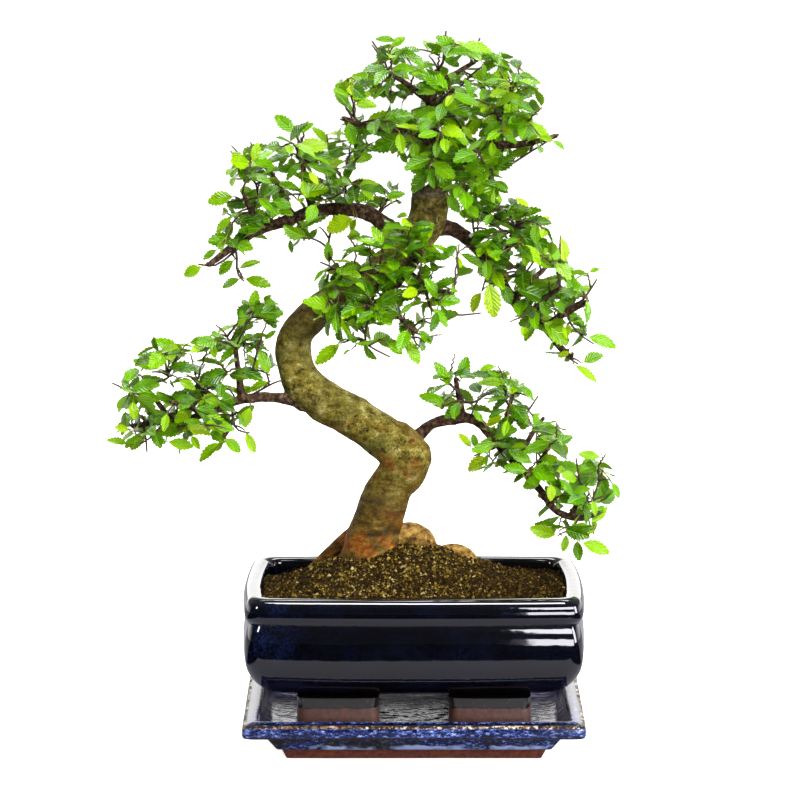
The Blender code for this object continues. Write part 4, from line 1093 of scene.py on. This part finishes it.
class Foliage:
    """One pad's leaves and shoots as they grow."""

    def __init__(self, pad, wood, seed):
        self.rng = np.random.default_rng(seed)
        self.wood = wood
        self.depth, self.half_depth, self.patches = PADS[pad]
        routes = [route for key, route in {**LIMBS, **BRANCHES}.items() if key.startswith(pad)]
        paths = [smooth_path(route_in_space(route), HOLD_STEP) for route in routes]
        self.holds = np.vstack([path[len(path) // 3:, :3] for path in paths])
        spots = np.array([from_picture(px, py, self.depth) for px, py, *_ in self.patches])
        self.middle = spots.mean(axis=0)
        self.leaves, self.shoots, self.bare = [], [], []
        self.places = np.empty((0, 3))
        self.goals = np.empty((0, 3))

    def free(self, at, tip, room):
        """Whether a leaf here has this much room from the others and clears the wood."""
        if len(self.places) and np.linalg.norm(self.places - at, axis=1).min() < room:
            return False
        ends = np.array([at, tip])
        gap = np.linalg.norm(ends[:, None] - self.wood[None, :, :3], axis=2) - self.wood[:, 3]
        return gap.min() > WOOD_ROOM

    def inside(self, tip):
        """Whether the picture shows leaves of this pad where the tip would be."""
        at = to_picture(tip[None])[0]
        spots = np.array(self.patches)
        off = (at - spots[:, :2]) / (spots[:, 2:4] + PATCH_MARGIN)
        return (off**2).sum(axis=1).min() < 1

    def keep_leaf(self, base, stalk, axis, normal, size, tone):
        """Keeps a leaf from stalk along axis, with its width, curl and fold drawn at random."""
        second = unit(np.cross(normal, axis))
        normal = np.cross(axis, second)
        rng = self.rng
        second = second * rng.uniform(*LEAF_WIDTHS)
        curl, fold = rng.uniform(-1, 1), rng.uniform(0.3, 1)
        self.leaves.append((base, stalk, axis, second, normal, size, tone, curl, fold))
        self.places = np.vstack((self.places, stalk + axis * size * 0.5))

    def add_clear_leaf(self, px, py, tip_x, tip_y, tone):
        """A leaf between two pixels, turned to show most of its face, on a stalk from the nearest hold."""
        rng = self.rng
        depth = self.depth - self.half_depth * rng.uniform(0.0, 0.6)
        stalk, tip = from_picture(px, py, depth), from_picture(tip_x, tip_y, depth + rng.uniform(-2, 2))
        size = np.linalg.norm(tip - stalk)
        normal = unit(np.array([0, -1.0, 0.75]) + rng.normal(0, 0.22, 3))
        axis = unit(tip - stalk)
        base = stalk - axis * STALK
        hold = nearest_hold(self.holds, base, 3.0)
        if np.linalg.norm(hold - base) > 3:
            self.shoots.append(bend_shoot(hold, base, 0.1))
        self.keep_leaf(base, stalk, axis, normal, size, tone)

    def add_bare_twig(self, run):
        """A twig along the picture's pixels, rooted on the nearest hold."""
        depth = self.depth - self.half_depth * self.rng.uniform(-0.1, 0.5)
        spots = np.array([from_picture(px, py, depth) for px, py in run])
        hold = nearest_hold(self.holds, spots[0], 0.5)
        rows = np.vstack((hold, spots)) if np.linalg.norm(hold - spots[0]) > 1 else spots
        rows = smooth_path(np.column_stack((rows, rows[:, 0] * 0)), 1.0)[:, :3]
        pick = np.linspace(0, len(rows) - 1, SHOOT_POINTS).round().astype(int)
        self.bare.append(rows[pick])
        self.holds = np.vstack((self.holds, rows[pick][3:6]))

    def fill_patch(self, px, py, half_x, half_y, full):
        """Shoots to goals in the patch, each the one of several tries that is farthest from all goals yet."""
        rng = self.rng
        count = max(1, round(math.pi * half_x * half_y * full / PATCH_PER_SHOOT))
        for _ in range(count):
            tries = []
            for _ in range(GOAL_TRIES):
                way = rng.normal(size=2)
                way *= math.sqrt(rng.uniform()) / np.hypot(*way)
                depth = self.depth + self.half_depth * rng.uniform(-1, 1)
                tries.append(from_picture(px + way[0] * half_x, py + way[1] * half_y, depth))
            tries = np.array(tries)
            clear = np.linalg.norm(tries[:, None] - self.goals[None], axis=2).min(axis=1, initial=1e9)
            goal = tries[clear.argmax()]
            self.goals = np.vstack((self.goals, goal))
            path = bend_shoot(nearest_hold(self.holds, goal), goal)
            self.shoots.append(path)
            self.dress(path)
            if rng.uniform() < SIDE_TWIG_SHARE:
                twig = self.side_twig(path)
                self.shoots.append(twig)
                self.dress(twig)

    def side_twig(self, path):
        """A short twig from the shoot's outer half, forward and aside."""
        rng = self.rng
        k = rng.integers(4, 8)
        along = unit(path[k] - path[k - 1])
        aside = unit(np.cross(along, rng.normal(size=3)))
        tip = path[k] + (along * 0.7 + aside + np.array([0, 0, 0.1])) * rng.uniform(6, 10)
        return bend_shoot(path[k], tip, 0.05)

    def dress(self, path):
        """Leaves left and right in turn over the shoot's last stretch, each turned until it has room."""
        rng = self.rng
        length = np.linalg.norm(np.diff(path, axis=0), axis=1).sum()
        leafy = min(length * 0.8, LEAFY_LENGTH)
        count = max(2, int(leafy / LEAF_STEP) + 1)
        for i in range(count):
            t = 1 - (leafy / length) * (1 - i / (count - 1))
            k = min(int(t * (SHOOT_POINTS - 1)), SHOOT_POINTS - 2)
            base = path[k] + (path[k + 1] - path[k]) * (t * (SHOOT_POINTS - 1) - k)
            along = unit(path[k + 1] - path[k])
            aside = unit(np.cross(along, [0, 0, 1.0]) + 1e-3)
            away = along if i == count - 1 else along * 0.45 + aside * (1 if i % 2 else -1)
            out = unit((base - self.middle) * [1, 1.6, 1])
            facing = np.array([0, -0.25, 0.75]) + 0.7 * out
            size = rng.uniform(*LEAF_LENGTH) * (1 - 0.3 * max(0, i / (count - 1) - 0.6) / 0.4)
            young = 0.25 * max(0, i / (count - 1) - 0.7) / 0.3
            for turn in range(LEAF_TRIES):
                axis = unit(away + rng.normal(0, 0.3 + 0.1 * turn, 3))
                normal = unit(facing + rng.normal(0, 0.33 + 0.06 * turn, 3))
                stalk = base + axis * STALK
                tip = stalk + axis * size
                if self.inside(tip) and self.free((stalk + tip) / 2, tip, LEAF_ROOM - 0.3 * turn):
                    tone = rng.beta(2.0, 2.6) * 0.85 + young * rng.uniform(0.2, 1)
                    self.keep_leaf(base, stalk, axis, normal, size, tone)
                    break


def leaf_mesh(name, leaves):
    """All of a pad's leaves: the template scaled, folded at its rib, arched to its tip and set in place."""
    template, uv, top, below = leaf_template()
    base, stalk, axis, second, normal, size, tone, curl, fold = (np.array(column) for column in zip(*leaves))
    x, y, z = (template[None, :, k] * size[:, None] for k in range(3))
    wide = (0.95 + 0.12 * curl)[:, None]
    z = z + np.abs(y) * (0.1 + 0.3 * fold)[:, None] - x * x / size[:, None] * (0.14 + 0.12 * curl)[:, None]
    z = z + 0.22 * np.sin(x * 1.1 + curl[:, None] * 9) * np.abs(y) / 4
    points = (stalk[:, None] + x[..., None] * axis[:, None] + (y * wide)[..., None] * second[:, None]
              + z[..., None] * normal[:, None])
    each = len(template)
    shift = np.arange(len(leaves))[:, None, None] * each
    faces = np.concatenate(((top[None] + shift), (below[None] + shift)), axis=1).reshape(-1, 4)
    piece = mesh_piece(name, points.reshape(-1, 3), faces)
    piece.data.set_sharp_from_angle(angle=LEAF_SHARP)
    set_values(piece, "tone", np.repeat(tone, each).clip(0, 1))
    layer = piece.data.uv_layers.new(name="leaf")
    vertex = np.empty(len(piece.data.loops), int)
    piece.data.loops.foreach_get("vertex_index", vertex)
    layer.data.foreach_set("uv", uv[vertex % each].astype(np.float32).ravel())
    set_values(piece, "under", np.tile(np.repeat((0, 1), (len(top), len(below))), len(leaves)), "FACE")
    return piece


def shoot_mesh(name, pad):
    """The pad's green shoots, its bare twigs and every leaf's stalk, as thin round rods."""
    stalks = [(base, (base + stalk) / 2 + [0, 0, 0.1], stalk + axis * 0.3)
              for base, stalk, axis, *_ in pad.leaves]
    parts, age = [], []
    for paths, (girth, sides, ages) in ((pad.shoots, SHOOT_ROD), (pad.bare, BARE_ROD), (stalks, STALK_ROD)):
        count, length = len(paths), len(paths[0])
        parts.append(rods(paths, np.linspace(*girth, length)[None] * np.ones((count, 1)), sides))
        age.append(np.tile(np.repeat(np.linspace(*ages, length), sides), count))
    twigs = mesh_piece(name, *joined(parts))
    set_values(twigs, "tip", np.concatenate(age))
    return twigs


def make_foliage(wood):
    """Each pad's leaves and shoots; the leaves stand for that pad's solid sprays."""
    leaf_material, twig_material = leaf_finish(), twig_finish()
    for number, name in enumerate(PADS):
        pad = Foliage(name, wood, SEED + number)
        for run in BARE_TWIGS[name]:
            pad.add_bare_twig(run)
        for clear in CLEAR_LEAVES[name]:
            pad.add_clear_leaf(*clear)
        for patch in pad.patches:
            pad.fill_patch(*patch)
        nodes = [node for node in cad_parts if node.startswith("spray_" + name)]
        ride_as(leaf_mesh("leaves_" + name, pad.leaves), leaf_material, "elm_leaves", *nodes)
        ride_as(shoot_mesh("shoots_" + name, pad), twig_material, "elm_bark")


# Studio

def make_floor():
    """A wide ground, white to the camera; the glaze mirrors it grey, and black in front and at the sides."""
    corners = np.array([(-1, -1, 0), (1, -1, 0), (1, 1, 0), (-1, 1, 0)]) * FLOOR_HALF
    floor = mesh_piece("studio_floor", corners, [[0, 1, 2, 3]], smooth=False)
    made, tree = new_material("white_paper")
    ray = add(tree, "LightPath", "Is Camera Ray")
    forward = axis_mm(tree, "Y")
    beside = band(abs(axis_mm(tree, "X")), *DARK_BESIDE) * band(forward, *DARK_AHEAD)
    grey = band(forward, *DARK_FRONT) * (1.0 - beside)
    shade(made, {
        "Base Color": coats("#060607", (grey, "#abaaaf"), (ray, "#f4f3f0")), "Roughness": 0.9,
        "Specular IOR Level": 0.0, "Emission Color": "#fffefa", "Emission Strength": ray * 0.9})
    floor.data.materials.append(made)


def make_world():
    """White behind and above, dark behind the camera, as in a product studio; plain white to the camera."""
    world = bpy.data.worlds.new("studio")
    bpy.context.scene.world = world
    world.use_nodes = True
    tree = world.node_tree
    way = add(tree, "TexCoord", "Generated")
    back = band(component(way, "Y"), -0.1, 0.35)
    above = band(component(way, "Z"), 0.35, 0.95)
    horizon = band(component(way, "Z"), 0.34, 0.2) * 2.2 + 0.25
    glow = back * horizon + above * 0.12 + 0.03
    studio = add(tree, "Background", 0, {"Color": (1.0, 0.99, 0.97, 1.0), "Strength": glow})
    plain = add(tree, "Background", 0, {"Color": (1.0, 0.995, 0.985, 1.0), "Strength": 1.0})
    ray = add(tree, "LightPath", "Is Camera Ray")
    mixed = add(tree, "MixShader", 0, {0: ray, 1: studio, 2: plain})
    put(tree.nodes["World Output"].inputs["Surface"], mixed)


def area_light(name, place, aim, size, power):
    data = bpy.data.lights.new(name, "AREA")
    data.shape = "RECTANGLE"
    data.size, data.size_y = size
    data.energy = power
    lamp = new_object(name, data)
    lamp.location = place
    lamp.rotation_euler = (Vector(aim) - Vector(place)).to_track_quat("-Z", "Y").to_euler()


def strip_light(name, azimuth, elevation, size, power):
    """A strip softbox seen from the pot's right shoulder at these angles, mirrored by the glaze."""
    a, e = math.radians(azimuth), math.radians(elevation)
    way = np.array([math.sin(a) * math.cos(e), -math.cos(a) * math.cos(e), math.sin(e)])
    area_light(name, SHOULDER + STRIP_DISTANCE * way, SHOULDER, size, power)


def make_camera():
    data = bpy.data.cameras.new("camera")
    data.lens = LENS
    data.sensor_width = SENSOR
    data.clip_end = CLIP_END
    camera = new_object("camera", data)
    camera.matrix_world = Matrix.Translation(Vector(EYE * MM)) @ Matrix.Rotation(math.pi / 2 - PITCH, 4, "X")
    bpy.context.scene.camera = camera


make_camera()
make_world()
make_floor()
area_light("overhead", (0.1, -1.0, 2.1), (0, 0, 0.15), (0.8, 0.6), 32)
area_light("back_top", (0.0, 1.3, 2.1), (0, 0, 0.2), (1.4, 0.8), 34)
area_light("fill_left", (-1.8, -1.6, 1.2), (0, 0, 0.2), (0.4, 0.4), 10)
strip_light("high_strip", 34.5, 24, (1.65, 0.3), 20)
strip_light("low_strip", 33.5, 3, (1.75, 0.34), 22)
strip_light("side_strip", 74, 13.5, (0.4, 0.75), 12)
bpy.context.scene.view_settings.view_transform = "Standard"
make_tray()
make_pot()
make_soil()
mesh_material = mesh_finish()
for name in ("drain_mesh_left", "drain_mesh_right"):
    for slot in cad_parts[name].material_slots:
        slot.material = mesh_material
make_foliage(make_wood())
